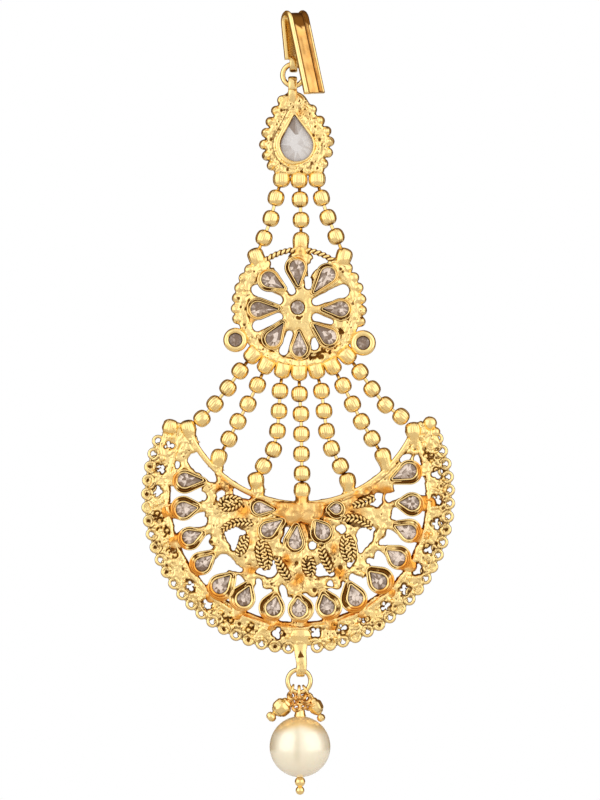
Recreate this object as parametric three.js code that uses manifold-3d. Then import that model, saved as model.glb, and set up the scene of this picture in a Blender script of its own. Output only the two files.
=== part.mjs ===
// Jhoomar: a gilded hair ornament that hangs from a hook, with its open-backed side towards -Y.
// Millimetres, +Z up. The origin is the inside of the hook's bend, where it sits in the hair.

import * as THREE from 'three';
import { mergeVertices } from 'three/addons/utils/BufferGeometryUtils.js';
import Module from 'manifold-3d';

const wasm = await Module();
wasm.setup();

const GOLD = { color: 0xdba94a, roughness: 0.32, metalness: 1 };
const GLASS = { color: 0xb9adb2, roughness: 0.12, metalness: 0 };
const NACRE = { color: 0xf3e6cd, roughness: 0.22, metalness: 0 };

// ---------------------------------------------------------------- driving sizes

const PLATE_Y = 0.6; // mid-plane of the flat pieces, under the hook's eye
const GAP = 0.3; // between neighbouring pieces

const HOOK = {
  bend: 1.0, // inner radius of the bend
  web: 0.45,
  ridge: 0.85,
  width: 3.5,
  ridgeWidth: 0.95,
  frontLeg: 12.7,
  rearLeg: 5.9,
  spread: 12.6, // degrees that the front leg springs open
  turn: 28, // degrees about the upright
  lean: 5.7, // degrees to the side
  slide: -0.9, // along its own width
};

const RING = { x: -1.06, z: -9.59, mean: 1.75, wire: 0.42 };
const EYE = { radius: 1.35, hole: 0.85, width: 1.6 };

const SETTING = { x: -0.5, z: -20.7, lean: 4.8, radius: 5.0, neck: 1.6, reach: 6.0 };
const TOP_STONE = { radius: 2.6, tip: 4.6, drop: -0.35 };

const BEAD = { radius: 1.28, half: 1.2, waist: 0.5, sides: 6, link: 0.27 };

// Y faces of the collets, and of the flat plates and webs between them.
const COLLET = { rear: -0.9, floor: -0.2, front: 1.1 };
const WEB = { rear: -0.6, front: 0.6 };

const WHEEL = { x: -0.16, z: -47.45, outer: 10.1, inner: 8.0, bump: 0.8 };

const CRESCENT = { x: -0.3, z: -78.2, edge: 23.7, inner: 20.8, half: 118 };
const RAIL = { x: 0.16, z: -59.3, radius: 19.95, half: 64.5, width: 1.0 };

const DROP_RING = { x: -0.15, z: -108.06, mean: 1.86, wire: 0.375 };
const PEARL = { x: 0, z: -118.7, radius: 4.95, bore: 0.55 };

// ---------------------------------------------------------------- solids

const rad = THREE.MathUtils.degToRad;

function toSolid(geometry) {
  const bare = geometry.clone();
  bare.deleteAttribute('normal');
  bare.deleteAttribute('uv');
  const merged = mergeVertices(bare, 1e-4);
  const mesh = new wasm.Mesh({
    numProp: 3,
    vertProperties: merged.attributes.position.array,
    triVerts: new Uint32Array(merged.index.array),
  });
  return new wasm.Manifold(mesh);
}

function toGeometry(solid) {
  const mesh = solid.getMesh();
  const geometry = new THREE.BufferGeometry();
  geometry.setAttribute('position', new THREE.BufferAttribute(mesh.vertProperties, 3));
  geometry.setIndex(new THREE.BufferAttribute(mesh.triVerts, 1));
  geometry.computeVertexNormals();
  return geometry;
}

const fuse = (solids) => solids.reduce((whole, next) => whole.add(next));
const cut = (solid, tools) => tools.reduce((rest, tool) => rest.subtract(tool), solid);

// An outline in the X-Z plane made thick along Y.
function plate(outline, rear, front, segments = 6) {
  const options = { depth: front - rear, bevelEnabled: false, curveSegments: segments };
  const geometry = new THREE.ExtrudeGeometry(outline, options);
  geometry.rotateX(Math.PI / 2);
  geometry.translate(0, front, 0);
  return geometry;
}

// An outline in the Y-Z plane made thick along X, centred on x = 0.
function crossPlate(outline, width, segments = 6) {
  const options = { depth: width, bevelEnabled: false, curveSegments: segments };
  const geometry = new THREE.ExtrudeGeometry(outline, options);
  geometry.translate(0, 0, -width / 2);
  const toYZ = new THREE.Matrix4().makeBasis(
    new THREE.Vector3(0, 1, 0),
    new THREE.Vector3(0, 0, 1),
    new THREE.Vector3(1, 0, 0),
  );
  return geometry.applyMatrix4(toYZ);
}

// Turns a piece so that its +Z points along `aim` degrees from +X towards +Z, then moves it.
function put(geometry, x, z, aim = 90, y = 0) {
  geometry.rotateY(-rad(aim - 90));
  geometry.translate(x, y, z);
  return toSolid(geometry);
}

// A drop outline: a round end at the origin and a pointed tip `reach` along +Y.
function dropOutline(radius, reach) {
  const slope = Math.asin(radius / reach);
  const outline = new THREE.Shape();
  outline.absarc(0, 0, radius, Math.PI - slope, 2 * Math.PI + slope, false);
  outline.lineTo(0, reach);
  return outline;
}

// A drop outline whose tip is a smaller arc.
function pearOutline(radius, neck, reach) {
  const slope = Math.asin((radius - neck) / reach);
  const outline = new THREE.Shape();
  outline.absarc(0, 0, radius, Math.PI - slope, 2 * Math.PI + slope, false);
  outline.absarc(0, reach, neck, slope, Math.PI - slope, false);
  outline.closePath();
  return outline;
}

function ovalOutline(long, wide) {
  const outline = new THREE.Shape();
  outline.absellipse(0, 0, wide, long, 0, 2 * Math.PI, false, 0);
  return outline;
}

function ringOutline(outer, inner, from, to) {
  const outline = new THREE.Shape();
  outline.absarc(0, 0, outer, rad(from), rad(to), false);
  outline.absarc(0, 0, inner, rad(to), rad(from), true);
  return outline;
}

function disc(radius, hole = 0) {
  const outline = new THREE.Shape();
  outline.absarc(0, 0, radius, 0, 2 * Math.PI, false);
  if (hole > 0) {
    const opening = new THREE.Path();
    opening.absarc(0, 0, hole, 0, 2 * Math.PI, true);
    outline.holes.push(opening);
  }
  return outline;
}

// A bar with round ends from the origin to `length` along +Y.
function barOutline(length, width) {
  const outline = new THREE.Shape();
  outline.absarc(0, 0, width / 2, Math.PI, 2 * Math.PI, false);
  outline.absarc(0, length, width / 2, 0, Math.PI, false);
  return outline;
}

function bar(from, to, width, rear, front) {
  const dx = to.x - from.x;
  const dz = to.z - from.z;
  const aim = THREE.MathUtils.radToDeg(Math.atan2(dz, dx));
  return put(plate(barOutline(Math.hypot(dx, dz), width), rear, front, 1.5), from.x, from.z, aim);
}

const polar = (centre, radius, degrees) => ({
  x: centre.x + radius * Math.cos(rad(degrees)),
  z: centre.z + radius * Math.sin(rad(degrees)),
});

function wireRing(x, z, mean, wire, sides, steps, about = 'y') {
  const geometry = new THREE.TorusGeometry(mean, wire, sides, steps);
  if (about === 'y') {
    geometry.rotateX(Math.PI / 2);
  } else {
    geometry.rotateY(Math.PI / 2);
  }
  return put(geometry, x, z);
}

function piece(name, solid, finish) {
  const mesh = new THREE.Mesh(toGeometry(solid), new THREE.MeshStandardMaterial(finish));
  mesh.name = name;
  return mesh;
}

// ---------------------------------------------------------------- hook

// The U seen from its edge, `thick` outwards from the same inner line: x is depth, y is height.
function hookOutline(thick) {
  const open = rad(HOOK.spread);
  const outer = HOOK.bend + thick;
  const end = Math.PI - open;
  const foot = (radius) => [
    radius * Math.cos(end) - HOOK.frontLeg * Math.sin(open),
    -HOOK.bend + radius * Math.sin(end) - HOOK.frontLeg * Math.cos(open),
  ];
  const outline = new THREE.Shape();
  outline.moveTo(outer, -HOOK.bend - HOOK.rearLeg);
  outline.absarc(0, -HOOK.bend, outer, 0, end, false);
  outline.lineTo(...foot(outer));
  outline.lineTo(...foot(HOOK.bend));
  outline.absarc(0, -HOOK.bend, HOOK.bend, end, 0, true);
  outline.lineTo(HOOK.bend, -HOOK.bend - HOOK.rearLeg);
  return outline;
}

function buildHook() {
  const offset = (HOOK.width - HOOK.ridgeWidth) / 2;
  const strips = [
    { thick: HOOK.web, width: HOOK.width, across: 0 },
    { thick: HOOK.ridge, width: HOOK.ridgeWidth, across: -offset },
    { thick: HOOK.ridge, width: HOOK.ridgeWidth, across: offset },
  ];
  const solids = strips.map((strip) => {
    const geometry = crossPlate(hookOutline(strip.thick), strip.width, 5);
    return toSolid(geometry.translate(strip.across + HOOK.slide, 0, 0));
  });
  const strip = toGeometry(fuse(solids));
  strip.rotateZ(rad(HOOK.turn));
  strip.rotateY(-rad(HOOK.lean));
  const eye = crossPlate(disc(EYE.radius, EYE.hole), EYE.width, 6);
  const eyeSolid = put(eye, RING.x, RING.z + RING.mean, 90, PLATE_Y);
  return piece('hook', toSolid(strip).add(eyeSolid), GOLD);
}

// ---------------------------------------------------------------- ball chains

// Bead places along each chain; the first and last rows are the soldered beads that it hangs between.
const UPPER_CHAINS = {
  left: [[-3.0, -26.5], [-3.9, -29.57], [-4.71, -32.91], [-5.85, -36.08], [-7.15, -39.0]],
  middle: [[-0.16, -26.65], [0, -29.82], [0.16, -33.15], [0.16, -36.4]],
  right: [[2.76, -26.5], [3.49, -29.57], [4.55, -32.74], [5.85, -35.83], [7.15, -39.0]],
};

const LOWER_CHAINS = {
  1: [[-7.8, -55.2], [-9.75, -57.69], [-11.7, -60.45], [-13.81, -63.05], [-15.93, -65.41], [-18.2, -66.95]],
  2: [[-5.6, -56.9], [-6.91, -59.96], [-8.45, -63.05], [-10.08, -65.89], [-11.54, -68.74], [-13.16, -71.66]],
  3: [[-2.85, -57.6], [-3.25, -60.94], [-3.41, -64.19], [-3.66, -67.44], [-4.31, -70.44], [-5.93, -73.12],
    [-7.15, -75.4]],
  4: [[-0.16, -58], [-0.08, -61.43], [0.16, -64.67], [0.24, -67.92], [0.24, -71.17], [0.33, -74.34],
    [0.33, -77.03]],
  5: [[2.7, -57.7], [3.49, -60.94], [3.9, -64.19], [4.31, -67.44], [5.12, -70.28], [6.58, -73.12],
    [7.8, -75.4]],
  6: [[5.36, -57.0], [6.99, -60.04], [8.53, -63.05], [9.99, -65.89], [11.7, -68.66], [13.49, -71.5]],
  7: [[7.8, -55.3], [9.75, -57.85], [11.7, -60.61], [13.89, -63.21], [16.41, -65.08], [18.2, -67.11]],
};

const toPlace = ([x, z]) => ({ x, z });
const aimOf = (from, to) => THREE.MathUtils.radToDeg(Math.atan2(to.z - from.z, to.x - from.x));

function bead(place, aim) {
  const { radius, half, waist, sides } = BEAD;
  const profile = [[0, -half], [radius, -waist], [radius, waist], [0, half]];
  const geometry = new THREE.LatheGeometry(profile.map(([x, y]) => new THREE.Vector2(x, y)), sides);
  geometry.rotateX(Math.PI / 2);
  return put(geometry, place.x, place.z, aim);
}

// A point on the way from the middle of a soldered bead, just clear of its surface.
function clearOf(anchor, next) {
  const length = Math.hypot(next.x - anchor.x, next.z - anchor.z);
  const share = (BEAD.radius + GAP) / length;
  return {
    x: anchor.x + (next.x - anchor.x) * share,
    z: anchor.z + (next.z - anchor.z) * share,
  };
}

// Lays a shape turned about Y on a flat route: row `n` of its profile goes to rows[n], square to it.
function turnAlong(rows, sides) {
  const profile = rows.map((row, n) => new THREE.Vector2(row.r, n));
  const geometry = new THREE.LatheGeometry(profile, sides);
  const position = geometry.attributes.position;
  for (let i = 0; i < position.count; i += 1) {
    const row = rows[Math.round(position.getY(i))];
    const aim = rad(row.aim);
    const side = position.getX(i);
    const x = row.x - Math.sin(aim) * side;
    const z = row.z + Math.cos(aim) * side;
    position.setXYZ(i, x, position.getZ(i), z);
  }
  return toSolid(geometry);
}

function buildChain(name, route) {
  const places = route.map(toPlace);
  const free = places.slice(1, -1);
  const first = clearOf(places[0], free[0]);
  const last = clearOf(places.at(-1), free.at(-1));
  const aimFirst = aimOf(first, free[0]);
  const aimLast = aimOf(free.at(-1), last);
  const { radius, half, waist, sides, link } = BEAD;
  const profile = [[-half, link], [-waist, radius], [waist, radius], [half, link]];
  const rows = [{ ...first, aim: aimFirst, r: 0 }, { ...first, aim: aimFirst, r: link }];
  free.forEach((place, i) => {
    const aim = aimOf(places[i], places[i + 2]);
    for (const [along, r] of profile) {
      rows.push({ ...polar(place, along, aim), aim, r });
    }
  });
  rows.push({ ...last, aim: aimLast, r: link }, { ...last, aim: aimLast, r: 0 });
  return piece(name, turnAlong(rows, sides), GOLD);
}

// The soldered beads at the ends of a set of chains, on the upper or the lower piece.
function endBeads(chains, upper) {
  return Object.values(chains).map((route) => {
    const places = route.map(toPlace);
    const own = upper ? places[0] : places.at(-1);
    const next = upper ? places[1] : places.at(-2);
    return bead(own, aimOf(own, next));
  });
}

// ---------------------------------------------------------------- top setting

function buildTopSetting() {
  const { x, z, radius, neck, reach } = SETTING;
  const aim = 90 + SETTING.lean;
  const outline = pearOutline(radius, neck, reach);
  const solids = [put(plate(outline, -1.0, 1.0, 6), x, z, aim)];
  const bumps = 19;
  outline.getSpacedPoints(bumps).slice(0, bumps).forEach((point) => {
    const atBail = point.y > reach;
    const atChains = point.y < -0.75 * radius;
    if (!atBail && !atChains) {
      const bump = plate(disc(0.78), -0.8, 0.8, 3);
      bump.translate(point.x, 0, point.y);
      solids.push(put(bump, x, z, aim));
    }
  });
  const bail = new THREE.Shape();
  bail.absarc(0, 0, 1.55, rad(-25), rad(205), false);
  bail.lineTo(-0.9, -2.6);
  bail.lineTo(0.9, -2.6);
  const hole = new THREE.Path();
  hole.absarc(0, 0, 0.95, 0, 2 * Math.PI, true);
  bail.holes.push(hole);
  solids.push(put(crossPlate(bail, 1.46, 4), -1.2, RING.z - RING.mean));
  solids.push(...endBeads(UPPER_CHAINS, true));
  const apron = bar({ x: -3.0, z: -25.6 }, { x: 2.8, z: -25.6 }, 2.2, -0.9, 0.9);
  solids.push(apron);
  const seat = (grow, rear, front) => {
    const geometry = plate(dropOutline(TOP_STONE.radius + grow, TOP_STONE.tip + grow), rear, front, 4);
    geometry.translate(0, 0, TOP_STONE.drop);
    return put(geometry, x, z, aim);
  };
  const openings = [seat(0, -2, 0.5), seat(0.7, -0.1, 2)];
  return piece('top_setting', cut(fuse(solids), openings), GOLD);
}

function buildTopStone() {
  const { radius, tip, drop } = TOP_STONE;
  const girdle = plate(dropOutline(radius + 0.4, tip + 0.3), 0.2, 0.7, 4);
  const table = plate(dropOutline(radius - 0.6, tip - 1.2), 0.6, 1.1, 3);
  girdle.translate(0, 0, drop);
  table.translate(0, 0, drop);
  const aim = 90 + SETTING.lean;
  const solids = [girdle, table].map((part) => put(part, SETTING.x, SETTING.z, aim));
  return piece('top_stone', fuse(solids), GLASS);
}

// ---------------------------------------------------------------- collets

// A drop-shaped collet with its tip along `aim`, and the pocket at whose floor its stone lies.
function collet(place, aim, stone, wall) {
  const { radius, reach } = stone;
  const body = plate(dropOutline(radius + wall, reach + 2.7 * wall), COLLET.rear, COLLET.front, 2.5);
  const pocket = plate(dropOutline(radius, reach), COLLET.rear - 1, COLLET.floor, 2);
  return {
    body: put(body, place.x, place.z, aim),
    pocket: put(pocket, place.x, place.z, aim),
  };
}

function roundCollet(place, radius, stone) {
  const body = put(plate(disc(radius), COLLET.rear, COLLET.front, 5), place.x, place.z);
  const pocket = put(plate(disc(stone), COLLET.rear - 1, COLLET.floor, 3), place.x, place.z);
  return { body, pocket };
}

// ---------------------------------------------------------------- wheel medallion

const PETAL_ANGLES = [94, 48, 0, -44, -89, -135, 181, 138];

// A flat part of the ground plate that the collets stand on.
function web(outline, centre, segments) {
  return put(plate(outline, WEB.rear, WEB.front, segments), centre.x, centre.z);
}

const webBar = (from, to, width) => bar(from, to, width, WEB.rear, WEB.front);

function buildWheel() {
  const { outer, inner, bump } = WHEEL;
  const solids = [
    web(ringOutline(outer, inner, 128, 412), WHEEL, 10),
    web(ringOutline(9.8, 9.0, 48, 132), WHEEL, 5),
    web(disc(2.9), WHEEL, 5),
    webBar({ x: 0.16, z: -36.9 }, { x: -0.3, z: -39.9 }, 2.0),
    webBar({ x: -7.15, z: -39.4 }, { x: -7.0, z: -41.6 }, 2.2),
    webBar({ x: 7.15, z: -39.4 }, { x: 6.9, z: -41.6 }, 2.2),
  ];
  const bumpRows = [{ from: 142, step: 9.6 }, { from: 39.5, step: -10.4 }];
  for (const row of bumpRows) {
    for (let i = 0; i < 6; i += 1) {
      const angle = row.from + i * row.step;
      solids.push(web(disc(bump), polar(WHEEL, outer + 0.25, angle), 3));
    }
  }
  solids.push(...endBeads(UPPER_CHAINS, false), ...endBeads(LOWER_CHAINS, true));
  const collets = PETAL_ANGLES.map((angle) => {
    const stone = { radius: 1.25, reach: 3.1 };
    return collet(polar(WHEEL, 7.1, angle), angle + 180, stone, 0.5);
  });
  collets.push(roundCollet({ x: -10.48, z: -52.65 }, 2.0, 1.05));
  collets.push(roundCollet({ x: 10.24, z: -53.14 }, 2.1, 1.05));
  solids.push(...collets.map(({ body }) => body));
  const hub = put(plate(disc(1.14), -2, COLLET.floor, 4), WHEEL.x, WHEEL.z);
  return piece('wheel_medallion', cut(fuse(solids), [hub, ...collets.map(({ pocket }) => pocket)]), GOLD);
}

// ---------------------------------------------------------------- crescent

const COLLETS = { count: 15, step: 14.4, radius: 19.0 };
const LOOPS = { count: 44, radius: 24.7, outer: 1.05, hole: 0.62 };
const PIERCED = { count: 22, step: 10, radius: 22.4, size: 0.55 };

// The little flower under the rail: tip directions in degrees.
const FLOWER = [
  { x: -6.2, z: -79.8, aim: 0, radius: 0.95, reach: 1.9 },
  { x: -5.0, z: -83.1, aim: 30, radius: 1.15, reach: 2.2 },
  { x: -0.95, z: -85.5, aim: 82, radius: 1.15, reach: 2.4 },
  { x: 3.5, z: -83.6, aim: 122, radius: 1.2, reach: 1.9 },
  { x: 5.8, z: -79.95, aim: 180, radius: 0.95, reach: 1.2 },
];

// Oval pads of coiled wire: half length and half width.
const PADS = [
  { x: -11.4, z: -79.0, aim: 10, long: 2.1, wide: 1.4 },
  { x: -10.2, z: -82.5, aim: 18, long: 2.4, wide: 0.95 },
  { x: -9.2, z: -85.8, aim: 68, long: 2.1, wide: 1.0 },
  { x: -5.9, z: -87.6, aim: 100, long: 2.8, wide: 1.4 },
  { x: -2.5, z: -89.9, aim: -62, long: 2.1, wide: 0.85 },
  { x: 10.1, z: -78.8, aim: 20, long: 1.8, wide: 1.0 },
  { x: 9.3, z: -82.4, aim: -24, long: 2.6, wide: 1.0 },
  { x: 8.0, z: -86.4, aim: 95, long: 2.5, wide: 1.3 },
  { x: 4.4, z: -88.2, aim: -62, long: 2.3, wide: 0.85 },
  { x: 1.5, z: -89.5, aim: -72, long: 2.0, wide: 1.2 },
];

// Cast lobes along the inner wire.
const LOBES = [
  { x: -15.1, z: -80.6, r: 1.6 },
  { x: -14.2, z: -85.0, r: 1.3 },
  { x: -8.6, z: -90.8, r: 1.5 },
  { x: -5.5, z: -92.0, r: 1.7 },
  { x: -1.6, z: -93.2, r: 1.6 },
  { x: 2.1, z: -93.2, r: 1.5 },
  { x: 6.5, z: -91.9, r: 1.6 },
  { x: 9.4, z: -90.2, r: 1.4 },
  { x: 12.2, z: -87.2, r: 1.4 },
  { x: 14.1, z: -83.4, r: 1.5 },
  { x: 14.5, z: -79.3, r: 1.5 },
];

// Bars of run solder and cast web that tie the inside together.
const WEBS = [
  { x1: -14.8, z1: -78.2, x2: -9.4, z2: -80.4, width: 3.2 },
  { x1: -9.4, z1: -80.4, x2: -7.6, z2: -84.5, width: 1.8 },
  { x1: -7.6, z1: -84.5, x2: -7.2, z2: -91.0, width: 1.3 },
  { x1: -7.2, z1: -84.2, x2: -4.2, z2: -87.2, width: 1.6 },
  { x1: -2.2, z1: -86.8, x2: 0.4, z2: -89.4, width: 2.4 },
  { x1: 0.4, z1: -89.4, x2: 0.0, z2: -93.0, width: 2.0 },
  { x1: -1.4, z1: -88.4, x2: -1.0, z2: -91.8, width: 1.8 },
  { x1: -0.4, z1: -87.0, x2: 3.6, z2: -86.2, width: 1.8 },
  { x1: 3.6, z1: -84.8, x2: 6.4, z2: -88.6, width: 1.8 },
  { x1: 6.4, z1: -86.0, x2: 6.6, z2: -91.0, width: 1.5 },
  { x1: 6.6, z1: -81.0, x2: 6.6, z2: -86.2, width: 2.2 },
  { x1: 8.0, z1: -80.2, x2: 14.5, z2: -80.6, width: 3.0 },
  { x1: -14.6, z1: -79.6, x2: -18.0, z2: -79.2, width: 1.3 },
  { x1: 14.4, z1: -81.0, x2: 18.0, z2: -80.8, width: 1.3 },
  { x1: -13.5, z1: -79.0, x2: -11.6, z2: -74.0, width: 1.5 },
  { x1: 13.0, z1: -79.0, x2: 12.6, z2: -73.2, width: 1.5 },
  { x1: -8.2, z1: -81.0, x2: -7.6, z2: -77.2, width: 1.2 },
  { x1: 8.2, z1: -81.0, x2: 7.8, z2: -77.2, width: 1.6 },
];

// The edging of small loops: a scalloped strip, with an opening in each loop.
function loopStrip() {
  const { count, radius, outer, hole } = LOOPS;
  const step = (2 * CRESCENT.half) / count;
  const centre = { x: 0, z: 0 };
  const start = polar(centre, radius, -90 - CRESCENT.half);
  const outline = new THREE.Shape().moveTo(start.x, start.z);
  for (let i = 0; i < count; i += 1) {
    const angle = -90 - CRESCENT.half + (i + 0.5) * step;
    const middle = polar(centre, radius, angle);
    for (const turn of [-112, -37, 37, 112]) {
      const point = polar(middle, outer, angle + turn);
      outline.lineTo(point.x, point.z);
    }
    outline.holes.push(squareHole(middle, hole, angle));
  }
  const inside = CRESCENT.edge - 0.35;
  outline.absarc(0, 0, inside, rad(-90 + CRESCENT.half), rad(-90 - CRESCENT.half), true);
  return outline;
}

function squareHole(middle, size, angle) {
  const hole = new THREE.Path();
  hole.setFromPoints([45, -45, -135, 135].map((turn) => {
    const corner = polar(middle, size, angle + turn);
    return new THREE.Vector2(corner.x, corner.z);
  }));
  hole.closePath();
  return hole;
}

function crescentBand() {
  const { edge, inner, half } = CRESCENT;
  const outline = ringOutline(edge, inner, -90 - half, -90 + half);
  for (let i = 0; i < PIERCED.count; i += 1) {
    const angle = -90 + (i - (PIERCED.count - 1) / 2) * PIERCED.step;
    const middle = polar({ x: 0, z: 0 }, PIERCED.radius, angle);
    outline.holes.push(squareHole(middle, PIERCED.size, angle + 45));
  }
  const loops = put(plate(loopStrip(), -0.3, 0.3, 11), CRESCENT.x, CRESCENT.z);
  return [web(outline, CRESCENT, 11), loops];
}

function crescentRail() {
  const { radius, half, width } = RAIL;
  const rail = ringOutline(radius + width / 2, radius - width / 2, -90 - half, -90 + half);
  const horns = [
    webBar({ x: -20.9, z: -66.9 }, { x: -17.8, z: -67.8 }, 2.6),
    webBar({ x: 21.2, z: -66.4 }, { x: 17.8, z: -67.8 }, 2.3),
  ];
  const posts = Object.values(LOWER_CHAINS).map((route) => {
    const cup = toPlace(route.at(-1));
    return webBar(cup, polar(RAIL, radius, aimOf(RAIL, cup)), 1.7);
  });
  return [web(rail, RAIL, 9), ...horns, ...endBeads(LOWER_CHAINS, false), ...posts];
}

function crescentInside() {
  const wire = ringOutline(14.7, 13.9, -186, 6);
  return [
    web(wire, CRESCENT, 9),
    ...LOBES.map((lobe) => web(disc(lobe.r), lobe, 3)),
    ...WEBS.map((row) => webBar({ x: row.x1, z: row.z1 }, { x: row.x2, z: row.z2 }, row.width)),
    ...PADS.map((pad) => {
      const { x, z, aim, long, wide } = pad;
      return put(plate(ovalOutline(long, wide), COLLET.rear, WEB.front, 3), x, z, aim);
    }),
    web(ovalOutline(3.9, 2.4), { x: 0.8, z: -80.6 }, 5),
  ];
}

function crescentLug() {
  const neck = new THREE.Shape();
  neck.moveTo(-1.6, -101.2);
  neck.lineTo(-0.9, -103.6);
  neck.lineTo(0.9, -103.6);
  neck.lineTo(1.6, -101.2);
  const tab = new THREE.Shape();
  const hole = new THREE.Path();
  tab.absarc(0, 0, 1.25, rad(-200), rad(20), false);
  tab.lineTo(0.8, 3.2);
  tab.lineTo(-0.8, 3.2);
  hole.absarc(0, 0, 0.75, 0, 2 * Math.PI, true);
  tab.holes.push(hole);
  return [
    web(neck, { x: 0, z: 0 }),
    put(crossPlate(tab, 1.5, 5), 0, DROP_RING.z + DROP_RING.mean),
  ];
}

function buildCrescent() {
  const { count, step, radius } = COLLETS;
  const collets = FLOWER.map((flower) => collet(flower, flower.aim, flower, 0.5));
  for (let i = 0; i < count; i += 1) {
    const angle = -90 + (i - (count - 1) / 2) * step;
    collets.push(collet(polar(CRESCENT, radius, angle), angle + 180, { radius: 1.3, reach: 2.6 }, 0.6));
  }
  const solids = [
    ...crescentBand(),
    ...crescentRail(),
    ...crescentInside(),
    ...crescentLug(),
    ...collets.map(({ body }) => body),
  ];
  return piece('crescent', cut(fuse(solids), collets.map(({ pocket }) => pocket)), GOLD);
}

// ---------------------------------------------------------------- pearl drop

function buildPearl() {
  const { radius, bore } = PEARL;
  const steps = 9;
  const start = Math.asin(bore / radius);
  const profile = [];
  for (let i = 0; i <= steps; i += 1) {
    const angle = start + (Math.PI - 2 * start) * (i / steps);
    profile.push(new THREE.Vector2(radius * Math.sin(angle), -radius * Math.cos(angle)));
  }
  profile.push(profile[0].clone());
  const geometry = new THREE.LatheGeometry(profile, 14);
  geometry.rotateX(Math.PI / 2);
  return piece('pearl', put(geometry, PEARL.x, PEARL.z), NACRE);
}

function buildPearlPin() {
  const loopZ = DROP_RING.z - DROP_RING.mean;
  const top = PEARL.z + PEARL.radius;
  const foot = PEARL.z - PEARL.radius;
  const profile = [
    [loopZ - 1.0, 0],
    [loopZ - 1.0, 0.3],
    [top + 1.2, 0.3],
    [top + 1.0, 0.85],
    [top + 0.2, 0.7],
    [top + 0.1, 0.3],
    [foot - 0.15, 0.3],
    [foot - 0.6, 0.85],
    [foot - 1.2, 0.85],
    [foot - 1.6, 0.3],
    [foot - 1.9, 0.75],
    [foot - 2.5, 0.75],
    [foot - 2.9, 0],
  ];
  const pin = turnAlong(profile.map(([z, r]) => ({ x: PEARL.x, z, aim: -90, r })), 7);
  const loop = wireRing(DROP_RING.x, loopZ, 1.0, 0.3, 5, 10, 'x');
  return piece('pearl_pin', pin.add(loop), GOLD);
}

// A small capped bead on a wire loop round the drop ring; `at` is its place on the ring in degrees.
function buildDangle(name, { at, neck, tip, width }) {
  const place = polar(DROP_RING, DROP_RING.mean, at);
  const loop = new THREE.TorusGeometry(0.85, 0.2, 4, 8);
  loop.rotateY(Math.PI / 2);
  const start = polar(place, 0.75, aimOf(place, neck));
  const aim = aimOf(neck, tip);
  const length = Math.hypot(tip.x - neck.x, tip.z - neck.z);
  const profile = [
    [0, 0.25],
    [0.1, 0.6],
    [0.35, 1],
    [0.65, 0.9],
    [0.78, 0.3],
    [0.85, 0.55],
    [1.05, 0.55],
    [1.2, 0],
  ];
  const rows = [
    { ...start, aim: aimOf(start, neck), r: 0 },
    { ...start, aim: aimOf(start, neck), r: 0.25 },
    ...profile.map(([share, r]) => ({ ...polar(neck, share * length, aim), aim, r: (r * width) / 2 })),
  ];
  return piece(name, turnAlong(rows, 6).add(put(loop, place.x, place.z, aimOf(place, neck))), GOLD);
}

const DANGLES = {
  dangle_left: { at: -128, neck: { x: -2.0, z: -111.5 }, tip: { x: -4.6, z: -113.75 }, width: 2.6 },
  dangle_right: { at: -52, neck: { x: 1.9, z: -111.3 }, tip: { x: 3.35, z: -113.9 }, width: 2.1 },
};

// ---------------------------------------------------------------- assembly

const ring = (name, size) => piece(name, wireRing(size.x, size.z, size.mean, size.wire, 6, 16), GOLD);

const hanging = new THREE.Group();
hanging.position.y = PLATE_Y;
hanging.add(ring('hook_ring', RING), buildTopSetting(), buildTopStone(), buildWheel(), buildCrescent());
for (const [side, route] of Object.entries(UPPER_CHAINS)) {
  hanging.add(buildChain(`upper_chain_${side}`, route));
}
for (const [number, route] of Object.entries(LOWER_CHAINS)) {
  hanging.add(buildChain(`lower_chain_${number}`, route));
}
hanging.add(ring('drop_ring', DROP_RING), buildPearl(), buildPearlPin());
for (const [name, sizes] of Object.entries(DANGLES)) {
  hanging.add(buildDangle(name, sizes));
}

const jhoomar = new THREE.Group();
jhoomar.add(buildHook(), hanging);

export default jhoomar;
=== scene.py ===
"""A gilded jhoomar, dressed for pictures: fine metal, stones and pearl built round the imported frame."""

import math

import bpy
import numpy as np
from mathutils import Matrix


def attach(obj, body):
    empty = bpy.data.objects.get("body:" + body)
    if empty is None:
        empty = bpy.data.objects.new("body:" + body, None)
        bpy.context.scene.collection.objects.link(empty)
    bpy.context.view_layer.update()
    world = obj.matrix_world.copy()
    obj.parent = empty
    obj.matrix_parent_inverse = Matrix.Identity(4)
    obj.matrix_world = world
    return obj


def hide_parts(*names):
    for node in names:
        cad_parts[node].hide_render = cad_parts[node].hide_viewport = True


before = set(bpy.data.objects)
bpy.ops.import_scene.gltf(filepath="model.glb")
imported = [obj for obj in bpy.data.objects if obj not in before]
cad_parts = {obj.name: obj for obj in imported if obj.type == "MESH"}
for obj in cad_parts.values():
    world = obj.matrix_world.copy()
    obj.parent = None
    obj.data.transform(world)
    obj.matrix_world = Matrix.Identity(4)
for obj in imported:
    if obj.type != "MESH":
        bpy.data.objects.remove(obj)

bl_info = {
    "name": "Gilded Jhoomar",
    "version": (1, 0, 0),
    "blender": (4, 5, 0),
    "location": "View3D > Sidebar > Jhoomar",
    "description": "Builds a gilded hair ornament of ball chains, collet-set stones and a pearl drop",
    "category": "Add Mesh",
}

MM = 0.001
MID = 0.6  # mid-plane of the flat plates, along Y, in millimetres like every size below

# ---------------- sizes shared with the frame

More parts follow.
